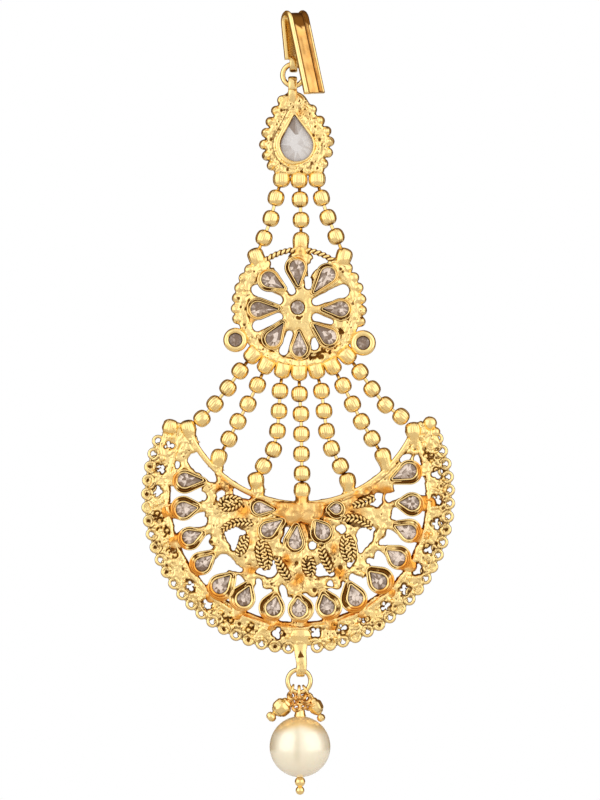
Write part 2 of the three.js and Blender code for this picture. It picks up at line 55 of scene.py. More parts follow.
HOOK = dict(bend=1.0, width=3.72, front=12.85, rear=5.9, spread=12.6, turn=28.0, lean=5.7, slide=-1.0)
HOOK_RING = dict(x=-1.06, z=-9.59, mean=1.75, wire=0.42)
EYE = dict(outer=1.35, inner=0.85, width=1.3)
SETTING = dict(x=-0.5, z=-20.7, aim=94.8, radius=5.0, neck=2.3, reach=6.0)
TOP_STONE = dict(radius=2.6, tip=4.6, drop=-0.35)
BAIL = dict(x=-1.2, outer=1.55, inner=0.95, width=1.46)
WHEEL = dict(x=-0.16, z=-47.45, outer=10.1, inner=8.0, step=8.75, groove=9.75, wire=9.45)
CRESCENT = dict(x=-0.3, z=-78.2, edge=24.2, inner=20.8, half=118.0, cups=15.6, cups_top=-74.8, overlap=21.2,
                rim=21.25, groove=21.85, low_groove=21.15)
RAIL = dict(x=0.16, z=-59.3, radius=20.0, half=62.0, wire=0.47)
LOOPS = dict(radius=24.5, outer=1.04, wire=0.28)
DROP_RING = dict(x=-0.15, z=-108.06, mean=1.86, wire=0.375)
PEARL = dict(x=0.0, z=-118.7)
CUP_FRONT = 1.7  # how far the closed fronts of the cups stand out

# The studio, in metres: the picture's span and height, and the softboxes' size, places and aim.
CAMERA = dict(lens=120.0, film=36.0, span=0.130, height=-0.0624)
SOFTBOX = dict(width=0.62, height=0.7, side=0.42, near=-0.32, above=0.14, aim=-0.062)
FLOOR_HEIGHT = -0.2

# Bead places (x, z) along each chain. The first and the last are the soldered ones.
UPPER_CHAINS = {
    "left": [(-3.0, -26.5), (-3.9, -29.57), (-4.71, -32.91), (-5.85, -36.08), (-7.15, -39.0)],
    "middle": [(-0.16, -26.65), (0, -29.82), (0.16, -33.15), (0.16, -36.4)],
    "right": [(2.76, -26.5), (3.49, -29.57), (4.55, -32.74), (5.85, -35.83), (7.15, -39.0)],
}
LOWER_CHAINS = {
    1: [(-7.8, -55.2), (-9.75, -57.69), (-11.7, -60.45), (-13.81, -63.05), (-15.93, -65.41), (-18.2, -66.95)],
    2: [(-5.6, -56.9), (-6.91, -59.96), (-8.45, -63.05), (-10.08, -65.89), (-11.54, -68.74),
        (-13.16, -71.66)],
    3: [(-2.85, -57.6), (-3.25, -60.94), (-3.41, -64.19), (-3.66, -67.44), (-4.31, -70.44), (-5.93, -73.12),
        (-7.15, -75.4)],
    4: [(-0.16, -58), (-0.08, -61.43), (0.16, -64.67), (0.24, -67.92), (0.24, -71.17), (0.33, -74.34),
        (0.33, -77.03)],
    5: [(2.7, -57.7), (3.49, -60.94), (3.9, -64.19), (4.31, -67.44), (5.12, -70.28), (6.58, -73.12),
        (7.8, -75.4)],
    6: [(5.36, -57.0), (6.99, -60.04), (8.53, -63.05), (9.99, -65.89), (11.7, -68.66), (13.49, -71.5)],
    7: [(7.8, -55.3), (9.75, -57.85), (11.7, -60.61), (13.89, -63.21), (16.41, -65.08), (18.2, -67.11)],
}

# Bumps round the pear setting: x, z.
SETTING_BUMPS = [
    (-2.9, -13.7), (-3.9, -15.4), (-4.8, -17.2), (-5.5, -19.0), (-5.85, -20.9), (-5.4, -22.7), (-4.6, -24.3),
    (1.95, -15.2), (3.25, -17.0), (4.3, -18.7), (4.8, -20.4), (4.55, -22.2), (3.8, -24.0),
]

# Bars run together with the plates, the setting's apron and neck first: x, z at both ends, width.
SETTING_BARS = [(-3.3, -25.1, 3.0, -25.0, 1.9), (-1.2, -12.4, -0.9, -15.0, 1.5)]
WHEEL_BARS = [(0.1, -37.6, 0.1, -43.0, 2.4), (-1.0, -39.4, 1.2, -39.4, 1.9)]
HORN_BARS = [(-20.6, -68.7, -18.2, -69.4, 1.8), (21.0, -67.6, 18.6, -69.0, 1.8),
             (-20.6, -67.6, -21.4, -70.5, 3.4), (20.6, -67.6, 21.6, -69.8, 2.8)]

# Stones of the wheel's petals: x, z, direction of the tip, radius, reach.
PETALS = [
    (-0.49, -40.87, -85, 1.23, 2.69), (4.55, -42.09, -128, 1.2, 3.4), (6.66, -47.61, 180, 1.23, 2.76),
    (4.71, -52.16, 141, 1.23, 2.94), (-0.08, -54.11, 92, 1.17, 2.6), (-4.39, -52.49, 57, 1.2, 2.82),
    (-6.83, -47.69, 1, 1.2, 3.09), (-5.04, -42.82, -30, 1.23, 2.62),
]
SIDE_COLLETS = [(-10.48, -52.65, 2.0), (10.24, -53.14, 2.1)]  # x, z, radius

# Burnt flux left on the wheel: x, z at both ends, width.
BURNT = [
    (1.7, -55.3, 3.4, -55.2, 1.0), (3.2, -54.8, 4.9, -54.5, 1.1), (5.4, -53.4, 6.5, -51.3, 0.9),
    (-0.9, -48.9, 0.2, -49.0, 0.4), (0.9, -44.4, 1.9, -42.6, 0.5), (-2.7, -39.3, -1.2, -38.9, 0.35),
]

# Openings of the wheel between its petals, from one round end to the other: x1, z1, radius1, x2, z2, radius2.
WHEEL_GAPS = [
    (-3.25, -40.46, 1.06, -1.3, -44.69, 0.57), (2.44, -40.06, 0.65, 2.11, -41.11, 0.24),
    (1.3, -42.9, 0.59, 1.38, -43.88, 0.52), (6.91, -44.69, 1.06, 2.6, -46.39, 0.62),
    (2.6, -48.91, 0.62, 5.04, -49.73, 0.36), (2.36, -53.62, 0.62, 2.36, -52.81, 0.52),
    (-2.68, -54.44, 0.73, -1.71, -51.68, 0.49), (-6.83, -50.38, 0.85, -3.49, -48.91, 0.65),
    (-6.99, -44.52, 0.89, -3.58, -46.15, 0.7),
]

# Drop stones of the crescent: x, z, direction of the tip, radius, reach, side on which the groove is wide.
COLLETS = [
    (-18.7, -75.4, 0, 1.14, 2.76, 1), (-18.93, -80.2, 8, 1.2, 2.1, -1), (-18.0, -84.66, 22, 1.1, 2.0, 1),
    (-15.9, -89.1, 42, 1.1, 2.1, -1), (-13.0, -92.6, 46, 1.22, 2.2, 1), (-9.1, -94.7, 67, 1.15, 2.0, -1),
    (-4.3, -96.2, 77, 1.16, 1.75, -1), (-0.15, -96.4, 97, 1.16, 1.6, 1), (4.4, -96.0, 107, 1.2, 1.85, 1),
    (9.0, -94.6, 109, 1.22, 2.1, -1), (12.9, -91.9, 135, 1.22, 2.0, 1), (15.9, -88.15, 143, 1.18, 2.0, 1),
    (17.7, -83.85, 157, 1.15, 2.25, 1), (18.2, -79.1, 178, 1.15, 1.95, -1), (17.7, -73.9, -154, 1.2, 2.8, -1),
]

# The little flower under the rail, with the same columns.
FLOWER = [
    (-6.6, -79.9, -6, 0.92, 2.2, -1), (-5.2, -83.5, 36, 1.1, 2.6, 1), (-0.75, -85.5, 84, 1.08, 2.5, -1),
    (3.7, -83.8, 122, 1.22, 1.8, -1), (5.9, -80.0, 180, 0.8, 1.0, -1),
]

# Slots between the flower's petals and at the left horn, sunk a little and filled with painted shade: x, z at
# both ends, width.
SLOTS = [(-3.3, -81.6, -3.9, -84.2, 0.5), (0.9, -82.2, 1.7, -84.6, 0.5), (-2.3, -82.2, -2.6, -83.6, 0.35),
         (4.2, -81.0, 6.4, -81.5, 0.6), (-19.65, -66.6, -19.95, -68.7, 0.45)]

# Lobes of the web that reach down between the collets' tips: x, z, radius.
LOBES = [(-1.5, -93.5, 1.0), (2.1, -93.5, 1.0), (-5.3, -92.2, 1.0), (5.9, -92.3, 0.95), (-13.9, -85.4, 0.9),
         (9.9, -90.5, 0.9), (-8.4, -91.2, 0.9)]

# Openings of the crescent under the rail, as in the wheel: x1, z1, radius1, x2, z2, radius2.
CRESCENT_GAPS = [
    (-16.74, -72.31, 1.35, -14.3, -75.08, 0.7), (-19.91, -72.64, 0.42, -19.91, -73.29, 0.33),
    (-20.48, -77.51, 0.68, -15.93, -78, 0.65), (-19.99, -82.63, 0.7, -15.76, -82.06, 0.65),
    (-12.35, -88.64, 1.14, -9.75, -90.03, 0.33), (-11.05, -84.09, 1.17, -10.72, -86.45, 0.33),
    (-11.86, -83.28, 0.42, -9.26, -83.93, 0.36), (-5.04, -90.03, 1.14, -6.99, -90.27, 0.24),
    (-4.06, -89.05, 0.49, -3.9, -88.4, 0.24), (-6.74, -91.81, 0.45, -6.58, -94.74, 0.42),
    (-2.93, -92.95, 0.49, -2.27, -94.9, 0.42), (-12.84, -77.84, 0.7, -13, -78.49, 0.49),
    (-10.24, -77.35, 0.7, -8.45, -78.16, 0.33), (-2.11, -83.36, 0.23, -2.76, -85.31, 0.23),
    (2.11, -86.04, 0.65, 1.95, -86.29, 0.49), (3.41, -90.03, 1.02, 5.2, -90.59, 0.33),
    (4.79, -92.14, 0.37, 5.2, -92.46, 0.29), (8.45, -91.16, 0.54, 10.24, -92.3, 0.68),
    (8.21, -88.4, 0.65, 7.96, -89.21, 0.41), (10.56, -84.5, 1.35, 9.91, -86.94, 0.33),
    (11.86, -83.36, 0.42, 11.54, -83.69, 0.39), (6.83, -83.36, 0.62, 6.17, -83.28, 0.39),
    (12.76, -78, 0.62, 12.84, -78.98, 0.52), (10.72, -78.98, 0.29, 12.35, -79.38, 0.36),
    (14.46, -78.24, 0.62, 20.15, -76.54, 0.75), (13.49, -85.48, 0.54, 16.57, -85.31, 0.52),
    (11.21, -88.56, 0.45, 13.65, -88.81, 0.49), (16.9, -71.99, 0.65, 17.55, -71.74, 0.49),
    (19.18, -71.99, 0.59, 19.5, -72.64, 0.42),
]

# Pads of twisted wire: x, z, direction, half length, half width, bend (0 for a coil, else the run's bow).
PADS = [
    (-11.3, -79.1, 8, 2.15, 1.45, 0), (-10.1, -83.0, 12, 2.6, 0.75, -0.75), (-9.3, -86.0, 66, 2.1, 0.95, 0),
    (-5.85, -87.5, 102, 2.7, 1.4, 0), (-2.7, -89.9, -60, 2.2, 0.75, 0.1), (10.3, -78.8, 22, 1.9, 0.75, 0.2),
    (9.3, -82.4, -18, 2.5, 0.75, -0.7), (7.8, -86.4, 98, 2.5, 1.4, 0), (4.3, -88.3, -66, 2.3, 0.75, 0.25),
    (1.5, -89.4, -75, 1.9, 1.25, 0),
]

# Solder that has run, redder than the rest: x, z, reach.
COPPER = [
    (-11.4, -75.6, 1.9), (-8.6, -77.7, 1.4), (-13.0, -77.0, 1.2), (13.2, -77.2, 2.2), (10.0, -77.6, 1.6),
    (0.0, -80.4, 4.0), (3.5, -80.6, 2.2), (-9.6, -81.0, 1.9), (-8.1, -84.6, 1.2), (-8.3, -89.8, 1.4),
    (-2.3, -88.5, 1.3), (-0.5, -91.4, 1.6), (5.4, -86.8, 1.5), (6.2, -90.6, 1.5), (8.7, -80.0, 1.7),
    (2.6, -91.6, 1.2),
]

# Pierced flowers of the band: x, z, opening (0 where solder has closed it), turn.
PIERCED = [
    (-21.3, -69.9, 0.42, 10), (-22.7, -73.6, 0.34, 40), (-23.2, -77.3, 0.42, 0), (-23.0, -81.4, 0.0, 20),
    (-22.2, -83.6, 0.0, 0), (-20.8, -87.3, 0.0, 60), (-17.8, -92.6, 0.42, 15), (-15.1, -95.6, 0.46, 30),
    (-11.7, -97.8, 0.0, 50), (-7.8, -99.6, 0.0, 10), (-3.6, -100.3, 0.44, 0), (21.3, -70.6, 0.0, 5),
    (20.9, -71.9, 0.0, 50), (22.5, -70.0, 0.0, 45),
    (22.3, -74.3, 0.48, 20), (22.2, -78.6, 0.42, 45), (22.2, -82.5, 0.46, 0), (20.9, -86.6, 0.38, 30),
    (19.0, -89.9, 0.44, 60), (17.0, -93.2, 0.4, 10), (13.9, -96.0, 0.42, 35), (10.3, -98.0, 0.2, 0),
    (6.8, -99.6, 0.38, 20), (2.5, -100.1, 0.42, 45),
]

# Loops from the strap outwards: first angle from straight down, step, and each loop: open, deep or filled.
LOOP_RUNS = {
    "left": (-3.7, -5.15, "odododooooodododfdddoo"),
    "right": (7.2, 5.03, "ofofodofofofoodooooooo"),
}

# Posts that hold the chains' ends: x, z at the bead, x, z where the post has run into the plate.
POSTS = {
    "wheel": [(-7.15, -39.0, -6.4, -41.2), (0.16, -36.4, 0.05, -39.3), (7.15, -39.0, 6.5, -41.2)],
    "crescent": [
        (-18.2, -66.95, -17.6, -69.6), (-13.16, -71.66, -13.6, -73.6), (-7.15, -75.4, -6.8, -77.2),
        (0.33, -77.03, 0.33, -78.9), (7.75, -75.5, 8.1, -77.4), (13.49, -71.5, 14.4, -74.1),
        (18.4, -67.3, 18.7, -69.8),
    ],
}

# Balls clustered at the right horn: x, z, radius.
KNOT = [(21.1, -66.2, 1.15), (20.3, -67.5, 0.75), (22.0, -67.6, 0.8)]

# Small capped beads on the drop ring: place on the ring in degrees, neck, tip, width.
DANGLES = {
    "dangle_left": (-128, (-1.75, -111.2), (-4.75, -113.9), 3.0),
    "dangle_right": (-52, (1.9, -110.9), (3.45, -114.1), 2.35),
}

# Fine rings tangled between the dangles: x, z, radius, lean.
TANGLE = [
    (1.0, -110.9, 0.62, 0.5), (-0.9, -111.3, 0.55, -0.7), (0.5, -112.0, 0.5, 0.2), (-1.3, -110.4, 0.6, 0.8),
    (0.1, -111.2, 0.7, -0.4), (1.9, -111.4, 0.6, 0.9), (-0.6, -112.3, 0.55, 0.6), (1.4, -112.2, 0.5, -0.8),
    (0.4, -110.3, 0.55, 1.0), (-1.6, -111.6, 0.45, -0.3),
]


def rgb(name, description, value):
    """A colour property with alpha, held as linear light."""
    return bpy.props.FloatVectorProperty(
        name=name, description=description, default=(*value, 1.0), size=4, min=0.0, max=1.0, subtype="COLOR"
    )


def amount(name, description, value, most=10.0):
    """A plain number from 0 up."""
    return bpy.props.FloatProperty(name=name, description=description, default=value, min=0.0, max=most)


def length(name, description, value):
    """A length property; its default is given in millimetres."""
    return bpy.props.FloatProperty(
        name=name, description=description, default=value * MM, min=0.0, precision=5, unit="LENGTH"
    )


class JhoomarSizes(bpy.types.PropertyGroup):
    """Sizes of the fine work that the frame leaves open."""

    bead_radius: length("Bead radius", "Radius of a ball-chain bead at its middle", 1.38)
    bead_half: length("Bead half length", "Half the length of a bead along its chain", 1.34)
    bead_cuts: bpy.props.IntProperty(
        name="Bead cuts", description="Lengthwise grooves round a bead", default=16, min=6, max=24
    )
    link_radius: length("Link radius", "Radius of the wire between two beads", 0.27)
    pearl_radius: length("Pearl radius", "Radius of the pearl", 4.93)
    plate_step: length("Plate step", "Distance between the points of a cast plate", 0.13)
    grain_depth: length("Grain depth", "Depth of the lumps that casting leaves on the back", 0.11)
    strand_radius: length("Strand radius", "Radius of the twisted wire in the coiled pads", 0.44)


class JhoomarFinish(bpy.types.PropertyGroup):
    """Colours and polish of the metal, stones and pearl."""

    gold: rgb("Gold", "Clean gilding", (1.0, 0.75, 0.33))
    deep_gold: rgb("Deep gold", "Gilding in the hollows of the cast metal", (0.9, 0.56, 0.14))
    # Copper of the warm tone: solder where it has run, and painted warm shadow under the rail, beside the
    # bail and in the hook's channel.
    solder: rgb("Solder", "Copper tint where solder has run", (0.82, 0.35, 0.055))
    # Brown of the shade tone: painted shade in recesses, grooves, folds and at edges, and the colour of burnt
    # flux.
    shade_and_soot: rgb("Antique", "Brown left in the recesses", (0.16, 0.06, 0.009))
    stone_light: rgb("Light facet", "Facets of a stone that catch the light", (0.84, 0.71, 0.62))
    clear_stone: rgb("Clear stone", "Facets of the clear stone at the top", (0.68, 0.66, 0.66))
    stone_dark: rgb("Dark facet", "Facets of a stone that don't", (0.19, 0.115, 0.07))
    pearl: rgb("Pearl", "Body colour of the pearl", (0.99, 0.91, 0.72))
    pearl_rose: rgb("Pearl rose", "Broad clouds on the pearl", (0.84, 0.64, 0.5))
    pearl_green: rgb("Pearl green", "Fine clouds on the pearl", (0.76, 0.72, 0.5))
    # Colour of the painted dull stripe on the pearl, a reflection of the dark gap between the softboxes.
    pearl_gap_reflection: rgb("Pearl seam", "Dull stripe down the pearl", (0.62, 0.56, 0.36))
    pearl_amber: rgb("Pearl amber", "Gold that the cap throws on the pearl", (0.92, 0.62, 0.22))
    polish: amount("Polish", "Roughness of the polished gold", 0.14, 1.0)
    cast_roughness: amount("Cast roughness", "Roughness of the cast gold", 0.2, 1.0)


class JhoomarStudio(bpy.types.PropertyGroup):
    """The studio round the ornament."""

    softbox: amount("Softbox", "Brightness of the two large softboxes", 0.56)
    fill: amount("Fill", "Brightness of the room in front", 0.81)
    shadow: amount("Shadow", "Brightness of the dark side screens", 0.2)


# ---------------- shapes as arrays


def circle(count):
    """That many even angles once round."""
    return np.linspace(0, 2 * np.pi, count, endpoint=False)


def middle(part):
    """The x and z of a part's middle."""
    return part["x"], part["z"]


def away(x, z, cx, cz):
    """Distance from a place."""
    return np.hypot(x - cx, z - cz)


def bearing(dx, dz):
    """Direction in degrees from +X towards +Z."""
    return math.degrees(math.atan2(dz, dx))


def polar(centre_x, centre_z, radius, degrees):
    """The point at that radius and angle from +X towards +Z."""
    angle = np.radians(degrees)
    return centre_x + radius * np.cos(angle), centre_z + radius * np.sin(angle)


def place_value(i, j, seed):
    """A fixed value in 0..1 for each whole-number place: the fraction left by a large sine."""
    value = np.sin(i * 127.1 + j * 311.7 + seed * 74.7) * 43758.5453
    return value - np.floor(value)


def lumps(x, z, size, seed=0):
    """Smooth noise in -1..1: the place values of square cells joined by a cubic ease."""
    i, j = np.floor(x / size), np.floor(z / size)
    a, b = x / size - i, z / size - j
    a, b = a * a * (3 - 2 * a), b * b * (3 - 2 * b)
    near = place_value(i, j, seed) * (1 - a) + place_value(i + 1, j, seed) * a
    far = place_value(i, j + 1, seed) * (1 - a) + place_value(i + 1, j + 1, seed) * a
    return 2 * (near * (1 - b) + far * b) - 1


def pits(x, z, size, seed, share):
    """Round pits, 0 outside and 1 at the bottom: one to a cell at a shifted place, 1 - (d / r)^2 deep."""
    depth = np.zeros(np.shape(x))
    i, j = np.floor(x / size), np.floor(z / size)
    for di in (-1, 0, 1):
        for dj in (-1, 0, 1):
            a, b = i + di, j + dj
            px = (a + place_value(a, b, seed)) * size
            pz = (b + place_value(a, b, seed + 1)) * size
            radius = size * (0.14 + 0.26 * place_value(a, b, seed + 2))
            bowl = 1 - ((x - px) ** 2 + (z - pz) ** 2) / radius**2
            depth = np.where(place_value(a, b, seed + 3) < share, np.maximum(depth, bowl), depth)
    return np.clip(depth, 0, 1)


def ease(value, low, high):
    """0 below low, 1 above high, and a cubic ease between."""
    t = np.clip((value - low) / (high - low), 0, 1)
    return t * t * (3 - 2 * t)


def patches(x, z, size, seed, low, high):
    """Soft-edged patches: the lumps eased between two levels."""
    return ease(lumps(x, z, size, seed), low, high)


def ridge(distance, width):
    """1 on a line, falling off either side of it as exp(-(distance / width)^2)."""
    return np.exp(-(distance / width) ** 2)


def column(values, shape):
    """One value for each row, the same all along it."""
    return np.broadcast_to(values[:, None], shape).copy()


def shell(points, quads, triangles, shade=0.0, solder=0.0):
    """A closed surface whose faces look outwards: turned over where the volume under them is negative."""
    points = np.asarray(points, float).reshape(-1, 3)
    quads = np.asarray(quads, int).reshape(-1, 4)
    triangles = np.asarray(triangles, int).reshape(-1, 3)
    corners = np.vstack([quads[:, [0, 1, 2]], quads[:, [0, 2, 3]], triangles])
    p = points[corners]
    if np.einsum("ij,ij->i", p[:, 0], np.cross(p[:, 1], p[:, 2])).sum() < 0:
        quads, triangles = quads[:, ::-1], triangles[:, ::-1]
    shade, solder = (np.broadcast_to(np.ravel(tone), len(points)) for tone in (shade, solder))
    return dict(points=points, quads=quads, triangles=triangles, shade=shade, solder=solder)


def skin(rows, closed=False, shade=0.0, solder=0.0):
    """A surface through rows of points that each go once round; a fan to its middle closes each open end."""
    n, m = rows.shape[:2]
    i = np.arange(n if closed else n - 1)[:, None]
    j = np.arange(m)[None, :]
    after = (i + 1) % n
    quads = np.stack([i * m + j, after * m + j, after * m + (j + 1) % m, i * m + (j + 1) % m], -1)
    points = rows.reshape(-1, 3)
    tones = [np.broadcast_to(tone, (n, m)).ravel() for tone in (shade, solder)]
    triangles = np.zeros((0, 3), int)
    if not closed:
        points = np.vstack([points, rows[0].mean(0), rows[-1].mean(0)])
        tones = [np.append(tone, [tone[0], tone[n * m - 1]]) for tone in tones]
        ring = np.arange(m)
        start = np.stack([np.full(m, n * m), ring, (ring + 1) % m], -1)
        end = np.stack([np.full(m, n * m + 1), (n - 1) * m + (ring + 1) % m, (n - 1) * m + ring], -1)
        triangles = np.vstack([start, end])
    return shell(points, quads, triangles, *tones)


def axes(path, closed=False, up=(0, 1, 0)):
    """Unit side and lift vectors square to a path, the lift as near to up as it can be."""
    if closed:
        along = np.roll(path, -1, 0) - np.roll(path, 1, 0)
    else:
        along = np.gradient(path, axis=0)
    along /= np.linalg.norm(along, axis=1, keepdims=True)
    side = np.cross(along, up)
    side /= np.linalg.norm(side, axis=1, keepdims=True)
    return side, np.cross(side, along)


def tube(path, radius, sides=10, closed=False, flat=1.0, up=(0, 1, 0), shade=0.0, solder=0.0):
    """A round bar along a path: path + radius (cos a side + flat sin a lift), with one radius or one for each
    place along it and round it."""
    path = np.asarray(path, float)
    side, lift = axes(path, closed, up)
    a = circle(sides)
    radius = np.asarray(radius, float).reshape(len(path) if np.size(radius) > 1 else 1, -1)
    radius = np.broadcast_to(radius, (len(path), sides))[..., None]
    ring = np.cos(a)[None, :, None] * side[:, None] + flat * np.sin(a)[None, :, None] * lift[:, None]
    return skin(path[:, None] + radius * ring, closed, shade, solder)


def flat_path(x, z, y=MID):
    """Points of a route that stays in a plane of the plates."""
    x = np.asarray(x, float)
    return np.stack([x, np.broadcast_to(np.asarray(y, float), x.shape), np.asarray(z, float)], -1)


def arc_path(centre_x, centre_z, radius, start, end, count, y=MID):
    """Points along an arc between two angles, both in degrees."""
    return flat_path(*polar(centre_x, centre_z, radius, np.linspace(start, end, count)), y)


def flank_shade(sides, tone):
    """Painted shade for the two flanks of a wire where it is seen edge on, none on its back, for each point
    round it.
    """
    return tone * ease(np.abs(np.cos(circle(sides))), 0.5, 0.9)[None, :]


def torus(x, z, mean, wire, around="y", steps=40, sides=12, y=MID, **tones):
    """A ring of round wire; its axis is y, or x for a ring seen edge on."""
    a = circle(steps)
    if around == "y":
        path = np.stack([x + mean * np.cos(a), np.full(steps, y), z + mean * np.sin(a)], -1)
        return tube(path, wire, sides, True, **tones)
    path = np.stack([np.full(steps, x), y + mean * np.cos(a), z + mean * np.sin(a)], -1)
    return tube(path, wire, sides, True, up=(1, 0, 0), **tones)


def twisted(path, radius, pitch, closed=False, sides=12, pinch=0.8, solder=0.2, shade_level=0.1):
    """Two strands twisted together: the outline of two touching circles, turned once for each pitch run."""
    path = np.asarray(path, float)
    run = np.concatenate([[0], np.cumsum(np.linalg.norm(np.diff(path, axis=0), axis=1))])
    a = circle(sides)[None, :]
    turn = a - np.pi * 2 * run[:, None] / pitch
    lobe = 0.45 * np.abs(np.cos(turn)) + np.sqrt(0.55**2 - (0.45 * np.sin(turn)) ** 2)
    # Painted shade in the notches between the strands and down the flanks, over a base level of painted
    # shade.
    shade = np.maximum(shade_level + 1.1 * ease(1 - lobe, 0.12, 0.45), flank_shade(sides, 0.7))
    lobe = 1 - pinch * (1 - lobe)
    return tube(path, radius * lobe, sides, closed, shade=shade, solder=solder)


def drop_ring(radius, reach, tip, counts):
    """A drop outline: an arc about the origin, straight flanks, and a small arc out along the second axis."""
    round_count, side_count, tip_count = counts
    slope = np.arcsin((radius - tip) / reach)
    wide = np.linspace(np.pi - slope, 2 * np.pi + slope, round_count)
    high = np.linspace(slope, np.pi - slope, tip_count)
    round_end = np.stack([radius * np.cos(wide), radius * np.sin(wide)], -1)
    tip_end = np.stack([tip * np.cos(high), reach + tip * np.sin(high)], -1)
    t = np.linspace(0, 1, side_count + 2)[1:-1, None]
    right = round_end[-1] + t * (tip_end[0] - round_end[-1])
    left = tip_end[-1] + t * (round_end[0] - tip_end[-1])
    return np.vstack([round_end, right, tip_end, left])


def set_down(flat, x, z, aim, y):
    """Puts an outline's second axis along aim and its first across it, at height y."""
    angle = math.radians(aim)
    across, along = flat[..., 0], flat[..., 1]
    px = x + along * math.cos(angle) + across * math.sin(angle)
    pz = z + along * math.sin(angle) - across * math.cos(angle)
    return np.stack([px, np.broadcast_to(y, px.shape), pz], -1)


# ---------------- flat fields, positive inside a shape


def disc_field(x, z, cx, cz, radius):
    """Radius less the distance to the middle."""
    return radius - away(x, z, cx, cz)


def bar_field(x, z, x1, z1, x2, z2, width):
    """Half the width less the distance to the line between the ends."""
    dx, dz = x2 - x1, z2 - z1
    t = np.clip(((x - x1) * dx + (z - z1) * dz) / (dx * dx + dz * dz), 0, 1)
    return width / 2 - np.hypot(x - x1 - t * dx, z - z1 - t * dz)


def arc_field(x, z, cx, cz, radius, start, end, width):
    """Half the width less the distance to an arc."""
    centre, half = math.radians((start + end) / 2), math.radians(abs(end - start) / 2)
    angle = np.arctan2(z - cz, x - cx) - centre
    angle = centre + np.clip((angle + np.pi) % (2 * np.pi) - np.pi, -half, half)
    return width / 2 - np.hypot(x - cx - radius * np.cos(angle), z - cz - radius * np.sin(angle))


def drop_field(x, z, cx, cz, aim, radius, reach, tip=0.05):
    """Distance inside a drop: a large and a small circle with their common tangents."""
    angle = math.radians(aim)
    along = (x - cx) * math.cos(angle) + (z - cz) * math.sin(angle)
    across = np.abs((x - cx) * math.sin(angle) - (z - cz) * math.cos(angle))
    b = (radius - tip) / reach
    a = math.sqrt(1 - b * b)
    k = along * a - across * b
    flank = across * a + along * b - radius
    low = np.hypot(across, along) - radius
    high = np.hypot(across, along - reach) - tip
    return -np.where(k < 0, low, np.where(k > a * reach, high, flank))


def taper_field(x, z, x1, z1, r1, x2, z2, r2):
    """Distance inside a drop given by its two round ends."""
    return drop_field(x, z, x1, z1, bearing(x2 - x1, z2 - z1), r1, math.hypot(x2 - x1, z2 - z1), r2)


def oval_field(x, z, cx, cz, aim, long, wide):
    """Distance inside an oval, about right near its edge."""
    angle = math.radians(aim)
    along = (x - cx) * math.cos(angle) + (z - cz) * math.sin(angle)
    across = (x - cx) * math.sin(angle) - (z - cz) * math.cos(angle)
    return (1 - np.hypot(along / long, across / wide)) * min(long, wide)


def flow(fields, sharpness=9.0):
    """Shapes run together with soft fillets: the logarithm of the sum of their exponentials."""
    total = sum(np.exp(sharpness * np.maximum(field, -12.0)) for field in fields)
    return np.log(total) / sharpness


def round_edge(field, width):
    """0 at the edge and 1 inside, rising as a quarter circle over that width."""
    return np.sqrt(1 - (1 - np.clip(field / width, 0, 1)) ** 2)


def domes(x, z, places, radius):
    """1 over the middle of each bump, easing to 0 at that radius."""
    return np.max([ease(radius - away(x, z, *place), 0, 0.8) for place in places], 0)


def smooth_front(height, size=0.9):
    """The plain front of a plate: that height above the mid-plane with faint lumps, rounded at its edge."""
    return lambda x, z, f: (height + 0.02 * lumps(x, z, size)) * round_edge(f, 0.4)


def cast_back(x, z, depth, seed, pit_share):
    """Rough cast metal: three sizes of lumps, two of pits, and veins. Gives the height and the darkness,
    which is painted shade in the pits, the low places and the veins.
    """
    height = depth * (0.9 * lumps(x, z, 1.15, seed) + 0.55 * lumps(x, z, 0.55, seed + 1)
                      + 0.25 * lumps(x, z, 0.3, seed + 2))
    large = pits(x, z, 1.1, seed + 11, pit_share * 0.8)
    small = pits(x, z, 0.5, seed + 21, pit_share)
    hollow = np.maximum(large, 0.8 * small)
    worm = veins(x, z, 0.85, seed + 31)
    shade = np.maximum(ease(hollow, 0.1, 0.8) * 0.9 + 0.22 * ease(-height, 0.02, 0.12), 0.9 * worm)
    return height - depth * (1.6 * hollow + 1.1 * worm), shade


def veins(x, z, size, seed):
    """Wandering creases where metal has run: 1 along the zero line of smooth noise, coming and going."""
    line = ridge(lumps(x, z, size, seed) + 0.3 * lumps(x, z, size / 3, seed + 1), 0.09)
    return line * patches(x, z, size * 1.3, seed + 2, -0.1, 0.5)


